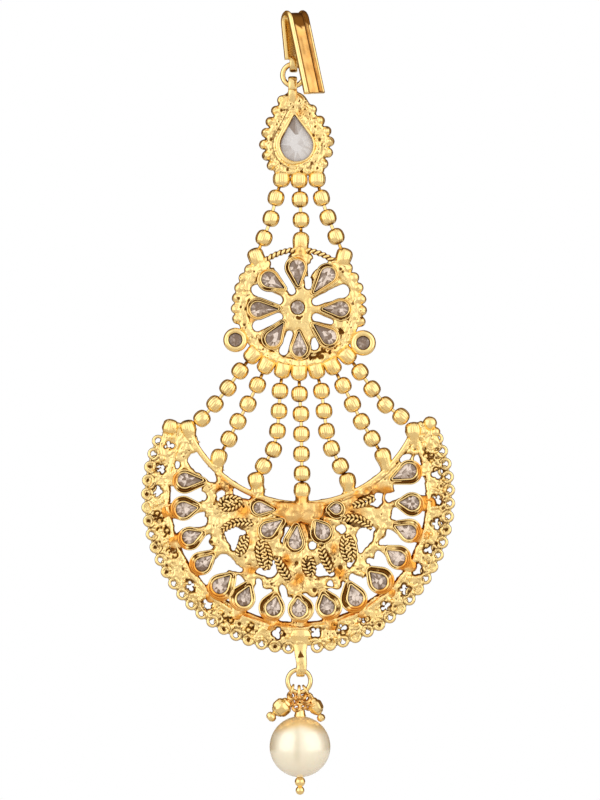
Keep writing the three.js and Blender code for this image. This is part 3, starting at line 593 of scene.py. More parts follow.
def cast_plate(field, low, high, step, rear, front):
    """A closed plate where a field is positive. Grid points near the edge move onto it, straight down the
    field's slope, and both faces meet there; rear and front give the faces' heights, rear the tones too."""
    x, z = np.meshgrid(np.arange(low[0], high[0], step), np.arange(low[1], high[1], step), indexing="ij")
    f = field(x, z)
    slope_x, slope_z = np.gradient(f, step)
    steep = np.maximum(slope_x**2 + slope_z**2, 0.05)
    edge = np.abs(f) < 0.56 * step * np.sqrt(steep)
    x = x - np.where(edge, f * slope_x / steep, 0)
    z = z - np.where(edge, f * slope_z / steep, 0)
    f = np.where(edge, 0, f)
    node = np.arange(f.size).reshape(f.shape)
    corners = [(slice(None, -1), slice(None, -1)), (slice(1, None), slice(None, -1)),
               (slice(1, None), slice(1, None)), (slice(None, -1), slice(1, None))]
    kept = np.stack([(edge | (f > 0))[c] for c in corners], -1)
    inside = np.stack([(f > 0)[c] for c in corners], -1).any(-1)
    ids = np.stack([node[c] for c in corners], -1)
    quads = ids[kept.all(-1) & inside]
    three = (kept.sum(-1) == 3) & inside
    triangles = np.vstack([ids[three & ~kept[..., n]][:, [(n + 1) % 4, (n + 2) % 4, (n + 3) % 4]]
                           for n in range(4)])
    used = np.unique(np.concatenate([quads.ravel(), triangles.ravel()]))
    x, z, f = x.ravel()[used], z.ravel()[used], f.ravel()[used]
    count = len(used)
    rear_id = np.zeros(node.size, int)
    rear_id[used] = np.arange(count)
    free = f > 0
    front_id = np.zeros(node.size, int)
    front_id[used] = np.where(free, count + np.cumsum(free) - 1, np.arange(count))
    height, shade, solder = rear(x, z, f)
    # Painted shade along the plate's edge, in patches.
    shade = np.maximum(shade, 0.85 * ease(0.17 - f, 0, 0.14) * patches(x, z, 1.4, 91, -1.0, 0.0))
    behind = front(x, z, f)
    lower = np.stack([x, MID - np.where(free, height, 0), z], -1)
    upper = np.stack([x, MID + behind, z], -1)[free]
    tones = [np.concatenate([np.broadcast_to(tone, count), np.broadcast_to(tone, count)[free] * 0.4])
             for tone in (shade, solder)]
    return shell(
        np.vstack([lower, upper]),
        np.vstack([rear_id[quads], front_id[quads][:, ::-1]]),
        np.vstack([rear_id[triangles], front_id[triangles][:, ::-1]]),
        *tones,
    )


# ---------------- pieces


def add_object(name, data):
    """An object with that mesh, lamp or camera, put in the scene."""
    added = bpy.data.objects.new(name, data)
    bpy.context.scene.collection.objects.link(added)
    return added


def make_piece(name, shells, finish, stands_for=(), body="pendant", smooth=True):
    """One object from closed surfaces in millimetres, their tones held on its points, riding on a body."""
    counts = np.cumsum([0] + [len(s["points"]) for s in shells])
    points = np.vstack([s["points"] for s in shells]) * MM
    faces = []
    for s, first in zip(shells, counts):
        faces += (s["quads"] + first).tolist() + (s["triangles"] + first).tolist()
    mesh = bpy.data.meshes.new(name)
    mesh.from_pydata(points, [], faces)
    for tone in ("shade", "solder"):
        values = np.concatenate([s[tone] for s in shells]).astype(np.float32)
        mesh.attributes.new(tone, "FLOAT", "POINT").data.foreach_set("value", values)
    mesh.polygons.foreach_set("use_smooth", np.full(len(faces), smooth))
    mesh.materials.append(finish_of(finish))
    mesh.update()
    piece = add_object(name, mesh)
    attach(piece, body)
    if stands_for:
        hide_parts(*stands_for)
    return piece


# ---------------- finishes


class Wire:
    """A socket that can be used in sums: each sum adds its Math node and gives that node's socket."""

    def __init__(self, finish, socket):
        self.finish, self.socket = finish, socket

    def math(self, operation, *values):
        return self.finish.node("ShaderNodeMath", dict(operation=operation), dict(enumerate(values)))

    def __add__(self, other):
        return self.math("ADD", self, other)

    def __sub__(self, other):
        return self.math("SUBTRACT", self, other)

    def __rsub__(self, other):
        return self.math("SUBTRACT", other, self)

    def __mul__(self, other):
        return self.math("MULTIPLY", self, other)

    __radd__, __rmul__ = __add__, __mul__

    def between(self, low, high):
        """0 below low and 1 above high, eased."""
        limits = {"Value": self, "From Min": low, "From Max": high}
        return self.finish.node("ShaderNodeMapRange", dict(interpolation_type="SMOOTHSTEP"), limits)


class Finish:
    """The nodes of one material, or of the world, being put together."""

    def __init__(self, holder):
        holder.use_nodes = True
        self.holder, self.tree = holder, holder.node_tree

    def feed(self, socket, value):
        """Links a socket, or sets its value."""
        if isinstance(value, Wire):
            self.tree.links.new(value.socket, socket)
        else:
            socket.default_value = value

    def node(self, kind, settings=None, inputs=None, output=0):
        """A node with its settings made first, then its inputs; gives one of its outputs."""
        made = self.tree.nodes.new(kind)
        for name, value in (settings or {}).items():
            setattr(made, name, value)
        for name, value in (inputs or {}).items():
            self.feed(made.inputs[name], value)
        return Wire(self, made.outputs[output])

    def tone(self, name):
        """A tone that the piece's surface carries."""
        return self.node("ShaderNodeAttribute", dict(attribute_name=name), output="Fac")

    def mix(self, share, first, second):
        """A colour between two colours, each a value, a link or the name of one of the finish's colours."""
        colours = bpy.context.scene.jhoomar_finish
        ends = [tuple(getattr(colours, end)) if isinstance(end, str) else end for end in (first, second)]
        return self.node("ShaderNodeMix", dict(data_type="RGBA"), {0: share, 6: ends[0], 7: ends[1]}, 2)

    def pattern(self, kind, size, output=0, **values):
        """A pattern on the piece's own place, its marks about that many millimetres across."""
        place = self.node("ShaderNodeTexCoord", output="Object")
        return self.node(kind, {}, {"Vector": place, "Scale": 1 / (size * MM), **values}, output)

    def noise(self, size, detail=3.0, rough=0.55):
        """Soft noise with lumps of about that size."""
        return self.pattern("ShaderNodeTexNoise", size, Detail=detail, Roughness=rough)

    def bump(self, height, depth, strength=1.0):
        """Relief of that depth in millimetres."""
        values = {"Height": height, "Distance": depth * MM, "Strength": strength}
        return self.node("ShaderNodeBump", {}, values, "Normal")

    def set(self, **values):
        """Values and links for the shader's sockets, spaces in their names written as underscores."""
        shader = self.tree.nodes["Principled BSDF"]
        for name, value in values.items():
            self.feed(shader.inputs[name.replace("_", " ")], value)
        return self.holder


def gold_finish(name, grain, grain_depth, polish, mottle):
    """Gilding: yellow, redder in soft patches, copper where solder ran and where warm shade is painted, and
    brown where the shade tone paints shade in recesses and at edges and marks burnt flux, with fine specks.
    """
    finish = Finish(bpy.data.materials.new(name))
    roughness = getattr(bpy.context.scene.jhoomar_finish, polish)
    shade, solder = finish.tone("shade"), finish.tone("solder")
    patch = finish.noise(2.2, 3.0)
    speck = finish.noise(0.3, 2.0, 0.6)
    warm = (patch.between(0.42, 0.78) * 0.4 + speck.between(0.55, 0.85) * 0.3) * mottle
    gold = finish.mix(warm, "gold", "deep_gold")
    ragged = (solder + patch * 0.5 - 0.25).between(0.1, 0.95)
    gold = finish.mix(ragged, gold, "solder")
    # Painted shade: the shade tone, broken by fine specks, mixes in the brown.
    shade_and_specks = (shade + (speck - 0.5) * 0.35 * mottle).between(0.3, 0.95)
    gold = finish.mix(shade_and_specks, gold, "shade_and_soot")
    height = speck * 0.45 + finish.noise(grain, 2.0)
    return finish.set(
        Base_Color=gold,
        Metallic=1.0,
        Roughness=shade_and_specks * 0.25 + patch * 0.1 * mottle + (roughness - 0.03),
        Normal=finish.bump(height, grain_depth),
    )


def stone_finish(name, cloudy, light):
    """Foiled glass: each facet painted light or dark as its reflection would fall, more or less clouded,
    under a clear polish.
    """
    finish = Finish(bpy.data.materials.new(name))
    facet = finish.tone("shade")
    cloud = finish.noise(0.9, 3.0, 0.6)
    glint = finish.pattern("ShaderNodeTexVoronoi", 0.55, "Distance").between(0.1, 0.6)
    tone = (facet + ((cloud - 0.5) * 0.8 + (glint - 0.5) * 0.25) * cloudy).between(0.02, 0.98)
    body = finish.mix(tone, light, "stone_dark")
    rim = finish.mix(finish.tone("solder"), body, "shade_and_soot")
    return finish.set(
        Base_Color=rim,
        Metallic=0.0,
        Roughness=cloud * 0.08 + 0.05,
        IOR=1.6,
        Coat_Weight=0.6,
        Coat_Roughness=0.03,
        Normal=finish.bump(cloud, 0.02 * cloudy, 0.6),
    )


def pearl_finish():
    """Nacre: cream with faint rose and green clouds under a soft coat, a painted dull stripe of reflection
    from the shade tone, and painted amber reflection of the gold from the warm tone.
    """
    finish = Finish(bpy.data.materials.new("nacre"))
    cloud = finish.noise(5.0, 2.0)
    fine = finish.noise(0.5, 2.0)
    body = finish.mix(cloud.between(0.4, 0.7) * 0.2, "pearl", "pearl_rose")
    body = finish.mix(fine.between(0.5, 0.8) * 0.1, body, "pearl_green")
    body = finish.mix(finish.tone("shade"), body, "pearl_gap_reflection")
    body = finish.mix(finish.tone("solder"), body, "pearl_amber")
    return finish.set(
        Base_Color=body,
        Metallic=0.25,
        Roughness=fine * 0.03 + 0.24,
        Subsurface_Weight=0.15,
        Subsurface_Radius=(0.002, 0.0014, 0.001),
        Subsurface_Scale=0.5,
        Specular_IOR_Level=0.7,
        Coat_Weight=1.0,
        Coat_Roughness=0.15,
        Sheen_Weight=0.15,
        Normal=finish.bump(fine, 0.001, 0.5),
    )


FINISHES = {
    "polished_gold": lambda: gold_finish("polished_gold", 0.6, 0.006, "polish", 0.35),
    "cast_gold": lambda: gold_finish("cast_gold", 0.75, 0.042, "cast_roughness", 1.0),
    "foiled_glass": lambda: stone_finish("foiled_glass", 1.0, "stone_light"),
    "clear_glass": lambda: stone_finish("clear_glass", 0.15, "clear_stone"),
    "nacre": pearl_finish,
}


def finish_of(name):
    """The material of that name, made the first time that it is asked for."""
    return bpy.data.materials.get(name) or FINISHES[name]()


# ---------------- hook and rings


def hook_shell():
    """A folded strip: two rounded ridges and a flat channel, carried down one leg, round the bend and down
    the other, then turned about Z and leant about Y."""
    open_angle = math.radians(HOOK["spread"])
    end = math.pi - open_angle
    bend, half = HOOK["bend"], HOOK["width"] / 2
    rear = np.linspace(HOOK["rear"], 0, 16)[:-1]
    turn = np.linspace(0, end, 26)
    front = np.linspace(0, HOOK["front"], 34)[1:]
    depth = np.concatenate([np.full(rear.size, bend), bend * np.cos(turn),
                            bend * math.cos(end) - front * math.sin(open_angle)])
    height = np.concatenate([-bend - rear, -bend + bend * np.sin(turn),
                             -bend + bend * math.sin(end) - front * math.cos(open_angle)])
    out = np.concatenate([np.zeros(rear.size), turn, np.full(front.size, end)])
    front_run = np.concatenate([np.zeros(rear.size + turn.size), front])
    # across the strip, from edge to edge: place across, height of the outer face, painted shade in the hollow
    section = np.array([
        (-1.0, 0.1, 0.0), (-0.985, 0.45, 0.0), (-0.93, 0.72, 0.0), (-0.84, 0.84, 0.0), (-0.74, 0.83, 0.0),
        (-0.65, 0.72, 0.0), (-0.585, 0.5, 0.5), (-0.55, 0.36, 0.95), (-0.52, 0.36, 0.95), (-0.48, 0.42, 0.3),
        (-0.4, 0.45, 0.0), (-0.2, 0.46, 0.0), (0.0, 0.46, 0.0), (0.2, 0.46, 0.0), (0.36, 0.45, 0.0),
        (0.41, 0.42, 0.3), (0.45, 0.34, 0.95), (0.5, 0.34, 0.95), (0.54, 0.5, 0.5), (0.6, 0.72, 0.0),
        (0.68, 0.82, 0.0), (0.78, 0.84, 0.0), (0.88, 0.76, 0.0), (0.95, 0.6, 0.0), (0.99, 0.35, 0.0),
        (1.0, 0.1, 0.0), (0.97, 0.0, 0.0), (0.5, 0.0, 0.2), (0.0, 0.0, 0.3), (-0.5, 0.0, 0.2),
        (-0.97, 0.0, 0.0),
    ])
    place, rise, hollow = section.T
    outer = rise > 0.3
    across = np.broadcast_to(place * half + HOOK["slide"], (len(depth), len(section)))
    y = depth[:, None] + rise * np.cos(out)[:, None]
    z = height[:, None] + rise * np.sin(out)[:, None]
    rows = np.stack([across, y, z], -1)
    shade = np.broadcast_to(hollow, rows.shape[:2]).copy()
    # Painted shade inside the fold, on the rear leg and at the start of the bend, deeper across the middle.
    inside = np.abs(place + 0.02) < 0.8
    shade[: rear.size + 4] = np.maximum(shade[: rear.size + 4], np.where(inside, 0.55, 0.3))
    # painted dark reflections below the bend: a patch in the channel, pointed ones on the flanks, and painted
    # dim streaks further down
    channel = (np.abs(place + 0.04) < 0.5) & outer
    low = (HOOK["bend"] * (1 - np.sin(out)) * (out > 1.6) + front_run)[:, None]
    right_point = 1.9 - 0.8 * low - np.abs(np.abs(place + 0.02) - 0.74) * 3.5 + 0.25
    left_point = 0.9 - 0.7 * low - 5 * np.abs(place + 0.66)
    patch = np.where(channel, 2.7 - low - 1.1 * np.abs(place), np.where(place > 0, right_point, left_point))
    shade = np.maximum(shade, 1.05 * ease(patch, 0.1, 0.45) * ease(out, 1.75, 2.1)[:, None] * outer)
    mottle = ease(out, 2.4, 2.8)[:, None] * outer
    streak = lumps(height[:, None] * 0.3, across, 0.45, 5) + 0.5 * lumps(height[:, None], across, 0.8, 6)
    flank = (place > 0.5) & (place < 0.72)
    streaks = np.where(channel, 0.52 + 0.14 * streak, np.where(flank, 0.62 + 0.1 * streak, 0.2))
    shade = np.maximum(shade, mottle * streaks)
    turn_cos, turn_sin = math.cos(math.radians(HOOK["turn"])), math.sin(math.radians(HOOK["turn"]))
    lean_cos, lean_sin = math.cos(math.radians(HOOK["lean"])), math.sin(math.radians(HOOK["lean"]))
    about_z = np.array([[turn_cos, -turn_sin, 0], [turn_sin, turn_cos, 0], [0, 0, 1]])
    about_y = np.array([[lean_cos, 0, -lean_sin], [0, 1, 0], [lean_sin, 0, lean_cos]])
    # The warm tone paints a dim, warm reflection on the channel and the right ridge's inner flank down the
    # front leg, and a little everywhere.
    copper = np.maximum(0.6 * mottle * (channel | flank), 0.12)
    return skin(rows @ (about_y @ about_z).T, shade=shade, solder=copper)


def rolled_eye(x, z, outer, inner, width, shade=0.0):
    """A short tube about X with rounded rims: a square section with soft corners carried round its axis."""
    a = circle(36)[:, None]
    b = circle(20)[None, :]
    square = np.maximum(np.abs(np.cos(b)), np.abs(np.sin(b))) ** 0.45
    radius = (outer + inner) / 2 + (outer - inner) / 2 * np.cos(b) / square
    along = width / 2 * np.sin(b) / square
    rows = np.stack([x + along + 0 * a, MID + radius * np.cos(a), z + radius * np.sin(a)], -1)
    return skin(rows, closed=True, shade=shade)


def link_ring(part):
    """A closed ring of round wire, with painted shade down its flanks."""
    return torus(*middle(part), part["mean"], part["wire"], steps=56, sides=16, shade=flank_shade(16, 0.8))


class JHOOMAR_OT_hook(bpy.types.Operator):
    """Make the ridged hook with its rolled eye, and the ring that links it to the ornament."""

    bl_idname = "jhoomar.hook"
    bl_label = "Hook and ring"

    def execute(self, context):
        z = HOOK_RING["z"] + HOOK_RING["mean"]
        # The hook's rolled eye carries painted shade.
        eye = rolled_eye(HOOK_RING["x"], z, EYE["outer"], EYE["inner"], EYE["width"], shade=0.5)
        make_piece("hook_strip", [hook_shell(), eye], "polished_gold", ["hook"], "hook")
        make_piece("hook_link_ring", [link_ring(HOOK_RING)], "polished_gold", ["hook_ring"], "hook_link")
        return {"FINISHED"}


# ---------------- ball chains


def bead_shell(x, z, aim, sizes, stretch=0.0, rough=0.0, seed=0, scale=1.0, waist=0.74):
    """A fluted bead: the girth goes as cos^0.78 of the rise and the length as sin^0.85, cut by narrow
    lengthwise grooves. With a stretch, the half behind its middle is drawn out, which makes a domed post."""
    cuts = sizes.bead_cuts
    radius, half = scale * sizes.bead_radius / MM, scale * sizes.bead_half / MM
    within = np.array([0.0, 0.14, 0.5, 0.86])
    a = ((np.arange(cuts)[:, None] + within + 0.5) * 2 * np.pi / cuts).ravel()
    groove_depths = 0.3 + 0.7 * place_value(np.arange(4 * cuts) // 4, seed, 6)
    groove = np.tile([1.0, 0.0, 0.0, 0.0], cuts) * groove_depths
    rise = np.radians([-85, -76, -64, -50, -36, -20, -4, 10, 26, 42, 56, 68, 78, 85])
    girth = np.cos(rise) ** 0.78
    ring = radius * girth[:, None] * (1 - 0.05 * groove * np.cos(rise)[:, None])
    line = half * np.sign(np.sin(rise)) * np.abs(np.sin(rise)) ** 0.85
    if stretch:
        narrowing = waist + (1 - waist) * np.array([1.1, 0.3, 0, 0.06, 0.4, 0.84])
        ring[:6] = radius * (1 - 0.02 * groove) * narrowing[:, None]
        groove = groove[None, :] * ease(np.arange(14), 3, 9)[:, None]
        line[:6] = np.interp(np.arange(6), [0, 4, 5], [-stretch, -0.95, -0.5])
    if rough:
        dents = lumps(np.cos(a)[None, :] * 2 + seed, line[:, None] * 1.5 + seed * 3.1, 0.8, 5)
        ring = ring * (1 + rough * dents)
    # Painted shade and dark reflection: caps at the poles, a wedge near one pole on the front of some beads,
    # and lines down the grooves.
    polar_start, polar_end, wedge_start, wedge_end = np.radians([58, 80, 28, 50])
    pole = ease(rise, polar_start, polar_end) + ease(-rise, polar_start, polar_end) * (not stretch)
    wedge = 0.8 * ease(rise, wedge_start, wedge_end) * (place_value(seed, 1, 2) > 0.35)
    wedge = wedge[:, None] * ease(-np.sin(a) - 0.5 * place_value(seed, 5, 2), 0.2, 0.5)[None, :]
    wedge = wedge * ease(-np.cos(a + 6 * place_value(seed, 2, 2) - 3), -0.6, 0.2)[None, :]
    shade = np.clip(0.85 * pole[:, None] + 0.95 * groove * np.cos(rise)[:, None] ** 2 + wedge, 0, 1)
    points = set_down(np.stack([ring * np.cos(a), line[:, None] + 0 * ring], -1), x, z, aim, 0)
    sink = np.ones(14)
    if stretch:
        sink[:6] = np.array([0.1, 0.45, 0.72, 0.88, 0.96, 1.0]) ** (0.5 if waist < 0.8 else 1.0)
    points[..., 1] = MID + sink[:, None] * ring * np.sin(a)
    return skin(points, shade=shade)


def chain_shells(route, sizes):
    """The free beads of a chain, each aimed along the line through its neighbours, on one thin wire."""
    route = np.asarray(route, float)
    shells = []
    for before, here, after in zip(route, route[1:], route[2:]):
        shells.append(bead_shell(*here, bearing(*(after - before)), sizes, seed=here[0]))
    ends = route.copy()
    clear = sizes.bead_half / MM
    for end, near in ((0, 1), (-1, -2)):
        step = route[near] - route[end]
        ends[end] = route[end] + step * clear / np.linalg.norm(step)
    # The wire between the beads carries a little painted shade.
    shells.append(tube(flat_path(ends[:, 0], ends[:, 1]), sizes.link_radius / MM, sides=8, shade=0.12))
    return shells


def post_shells(posts, sizes, waist=0.74):
    """Domed, fluted posts: each a stretched bead that looks away from the place where it joins the plate."""
    shells = []
    for number, (x, z, foot_x, foot_z) in enumerate(posts):
        aim, stretch = bearing(x - foot_x, z - foot_z), math.hypot(x - foot_x, z - foot_z)
        shells.append(bead_shell(x, z, aim, sizes, stretch, rough=0.05, seed=number, waist=waist))
    return shells


class JHOOMAR_OT_chains(bpy.types.Operator):
    """Make the ten ball chains between the setting, the wheel and the crescent."""

    bl_idname = "jhoomar.chains"
    bl_label = "Ball chains"

    def execute(self, context):
        for kind, chains in (("upper", UPPER_CHAINS), ("lower", LOWER_CHAINS)):
            for key, route in chains.items():
                shells = chain_shells(route, context.scene.jhoomar_sizes)
                make_piece(f"{kind}_beads_{key}", shells, "polished_gold", [f"{kind}_chain_{key}"])
        return {"FINISHED"}


# ---------------- collets and stones


def drop_collet(x, z, aim, radius, reach, side, wall, rear, seed, skirt=0.0, copper=0.0, shade_level=1.0):
    """A drop-shaped cup: rows of one drop outline, each wider or narrower and higher or lower than the last,
    from the middle of its closed front, round the two rims at the back and down to its floor. The outer rim
    is moved to one side, solder pools in the groove, and copper has run over the cup towards the band.
    Painted shade lies on the outer wall, in the groove and on the inner wall by the stone."""
    w = wall
    # share of the outline's full size, its growth, height, painted shade
    rows = np.array([
        (0.35, 0.0, CUP_FRONT - 0.02, 0), (0.8, 0.3 * w, CUP_FRONT - 0.08, 0),
        (1, 0.75 * w, CUP_FRONT - 0.25, 0), (1, 0.98 * w, CUP_FRONT - 0.55, 0),
        (1, w + skirt, 0.25, 0.9), (1, w + 0.25 * skirt, rear + 0.34, 0.9),
        (1, 0.99 * w, rear + 0.12, 0.1), (1, 0.93 * w, rear + 0.02, 0), (1, 0.8 * w, rear + 0.03, 0),
        (1, 0.74 * w, rear + 0.14, 0.6), (1, 0.7 * w, rear + 0.5, 1.0), (1, 0.36 * w, rear + 0.5, 1.0),
        (1, 0.33 * w, rear + 0.2, 0.6), (1, 0.27 * w, rear + 0.07, 0), (1, 0.12 * w, rear + 0.08, 0),
        (1, 0.04 * w, rear + 0.2, 0.6), (1, 0.0, rear + 0.3, 1), (1, 0.0, 0.3, 1), (0.4, 0, 0.38, 1),
    ])
    flat = np.stack([
        share * drop_ring(radius + grow, reach + 0.15 * grow, 0.12 + 0.75 * grow, (21, 6, 7))
        for share, grow in rows[:, :2]
    ])
    flat[2:11, :, 0] += w * side
    heights, shade = column(rows[:, 2], flat.shape[:2]), column(rows[:, 3], flat.shape[:2])
    points = set_down(flat, x, z, aim, heights)
    px, pz = points[..., 0], points[..., 2]
    far = away(px, pz, *middle(CRESCENT))
    pool = np.clip(copper * ease(far, 19.3, 19.9) + 0.8 * patches(px, pz, 1.8, seed + 40, 0.3, 0.7), 0, 1)
    heights[9:13] -= 0.34 * pool[9:13]
    # The groove's painted shade is full on the wide side and cut to a lower level on the other.
    inward = flat[9:, :, 0] * np.sign(side) + 0.5 * flat[9:, :, 1] / reach
    shade[9:] *= shade_level + (1 - shade_level) * ease(inward, -0.2, 0.6)
    shade[9:13] *= 1 - 0.85 * pool[9:13]
    points[..., 1] = heights
    run = copper * ease(far, 19.4, 20.2) * (0.85 + 0.5 * lumps(px, pz, 1.2, 8))
    return skin(points, shade=shade, solder=np.clip(run, 0, 1))


def round_collet(x, z, outer, inner, rear):
    """A round cup with one rim at the back, a groove and a step down to its stone."""
    w = outer - inner
    # radius, height, painted shade
    rows = np.array([
        (0.5 * outer, CUP_FRONT, 0), (outer - 0.35, CUP_FRONT - 0.1, 0), (outer - 0.1, CUP_FRONT - 0.35, 0),
        (outer, 1.0, 0), (outer, 0.45, 0), (outer - 0.04, rear + 0.5, 0), (outer - 0.13, rear + 0.3, 0),
        (outer - 0.27, rear + 0.13, 0),
        (outer - 0.42, rear + 0.04, 0), (outer - 0.6 * w, rear, 0), (outer - 0.72 * w, rear + 0.03, 0.0),
        (inner + 0.14, rear + 0.1, 0.1), (inner + 0.08, rear + 0.18, 0.7), (inner + 0.02, rear + 0.3, 1),
        (inner, rear + 0.4, 1), (inner, 0.35, 1), (0.4 * inner, 0.42, 1),
    ])
    a = circle(44)
    flat = rows[:, 0][:, None, None] * np.stack([np.cos(a), np.sin(a)], -1)[None]
    heights, shade = column(rows[:, 1], flat.shape[:2]), column(rows[:, 2], flat.shape[:2])
    return skin(set_down(flat, x, z, 90, heights), shade=shade)


def facets(outline, x, z, aim, girdle, table, floor, seed, share=0.5, gloom=0.4, spread=0.95):
    """A cut stone: triangles from each girdle point to a smaller, half-turned table and from the table to its
    middle. Gives its points, its faces and a fixed tone for each face, which paints it light or dark as its
    reflection would fall, a few faces as bright glints."""
    n = len(outline)
    inner = (outline + np.roll(outline, -1, 0)) / 2 * share + outline.mean(0) * (1 - share) * 0.6
    jitter = 0.07 * np.stack([place_value(np.arange(n), seed, 3), place_value(np.arange(n), seed, 4)], -1)
    low = set_down(outline, x, z, aim, girdle)
    high = set_down(inner + jitter, x, z, aim, table)
    base = set_down(outline * 0.96, x, z, aim, floor)
    centre = high.mean(0) - np.array([0, 0.03, 0])
    under = base.mean(0)
    k = (np.arange(n) + 1) % n
    corners = np.vstack([np.stack(three, 1) for three in (
        (low, low[k], high), (high, low[k], high[k]), (high, high[k], np.broadcast_to(centre, (n, 3))),
        (low, base, low[k]), (base, base[k], low[k]), (base, np.broadcast_to(under, (n, 3)), base[k]),
    )])
    points, index = np.unique(np.round(corners.reshape(-1, 3), 5), axis=0, return_inverse=True)
    faces = np.asarray(index).reshape(-1, 3)
    tones = place_value(np.arange(len(faces)), seed * 3.7, 9)
    tones[2 * n : 3 * n] = tones[2 * n : 3 * n] * 0.25 + 0.75 * place_value(np.arange(n) // 3, seed, 12)
    tones[: 2 * n] += 0.15
    glare = (place_value(np.arange(len(faces)) // 2, seed, 15) > 0.86) & (spread > 0.5)
    return points, faces, np.where(glare, 0.05, gloom + spread * (tones - 0.5))


def make_stones(name, stones, finish="foiled_glass", stands_for=()):
    """Joins cut stones into one piece with flat faces, each face carrying its own tone."""
    shells = [shell(points, np.zeros((0, 4)), faces) for points, faces, _ in stones]
    mesh = make_piece(name, shells, finish, stands_for, smooth=False).data
    mesh.attributes.remove(mesh.attributes["shade"])
    tones = np.concatenate([tones for _, _, tones in stones]).astype(np.float32)
    mesh.attributes.new("shade", "FLOAT", "FACE").data.foreach_set("value", tones)


# ---------------- top setting


def stone_middle():
    """Where the setting's stone lies, a little under the middle of the pear."""
    return SETTING["x"], SETTING["z"] + TOP_STONE["drop"]


def opening_field(x, z):
    """The opening for the setting's stone, a little larger than it."""
    radius, reach = TOP_STONE["radius"] + 0.1, TOP_STONE["tip"] + 0.15
    return drop_field(x, z, *stone_middle(), SETTING["aim"], radius, reach, 0.15)


def setting_field(x, z):
    """The pear with its bumps, apron and neck run together, less the stone's opening."""
    radius, neck = SETTING["radius"] + 0.15, SETTING["neck"] + 0.15
    fields = [drop_field(x, z, *middle(SETTING), SETTING["aim"], radius, SETTING["reach"], neck)]
    fields += [disc_field(x, z, *bump, 0.82) for bump in SETTING_BUMPS]
    fields += [bar_field(x, z, *bar) for bar in SETTING_BARS]
    return np.minimum(flow(fields), -opening_field(x, z))


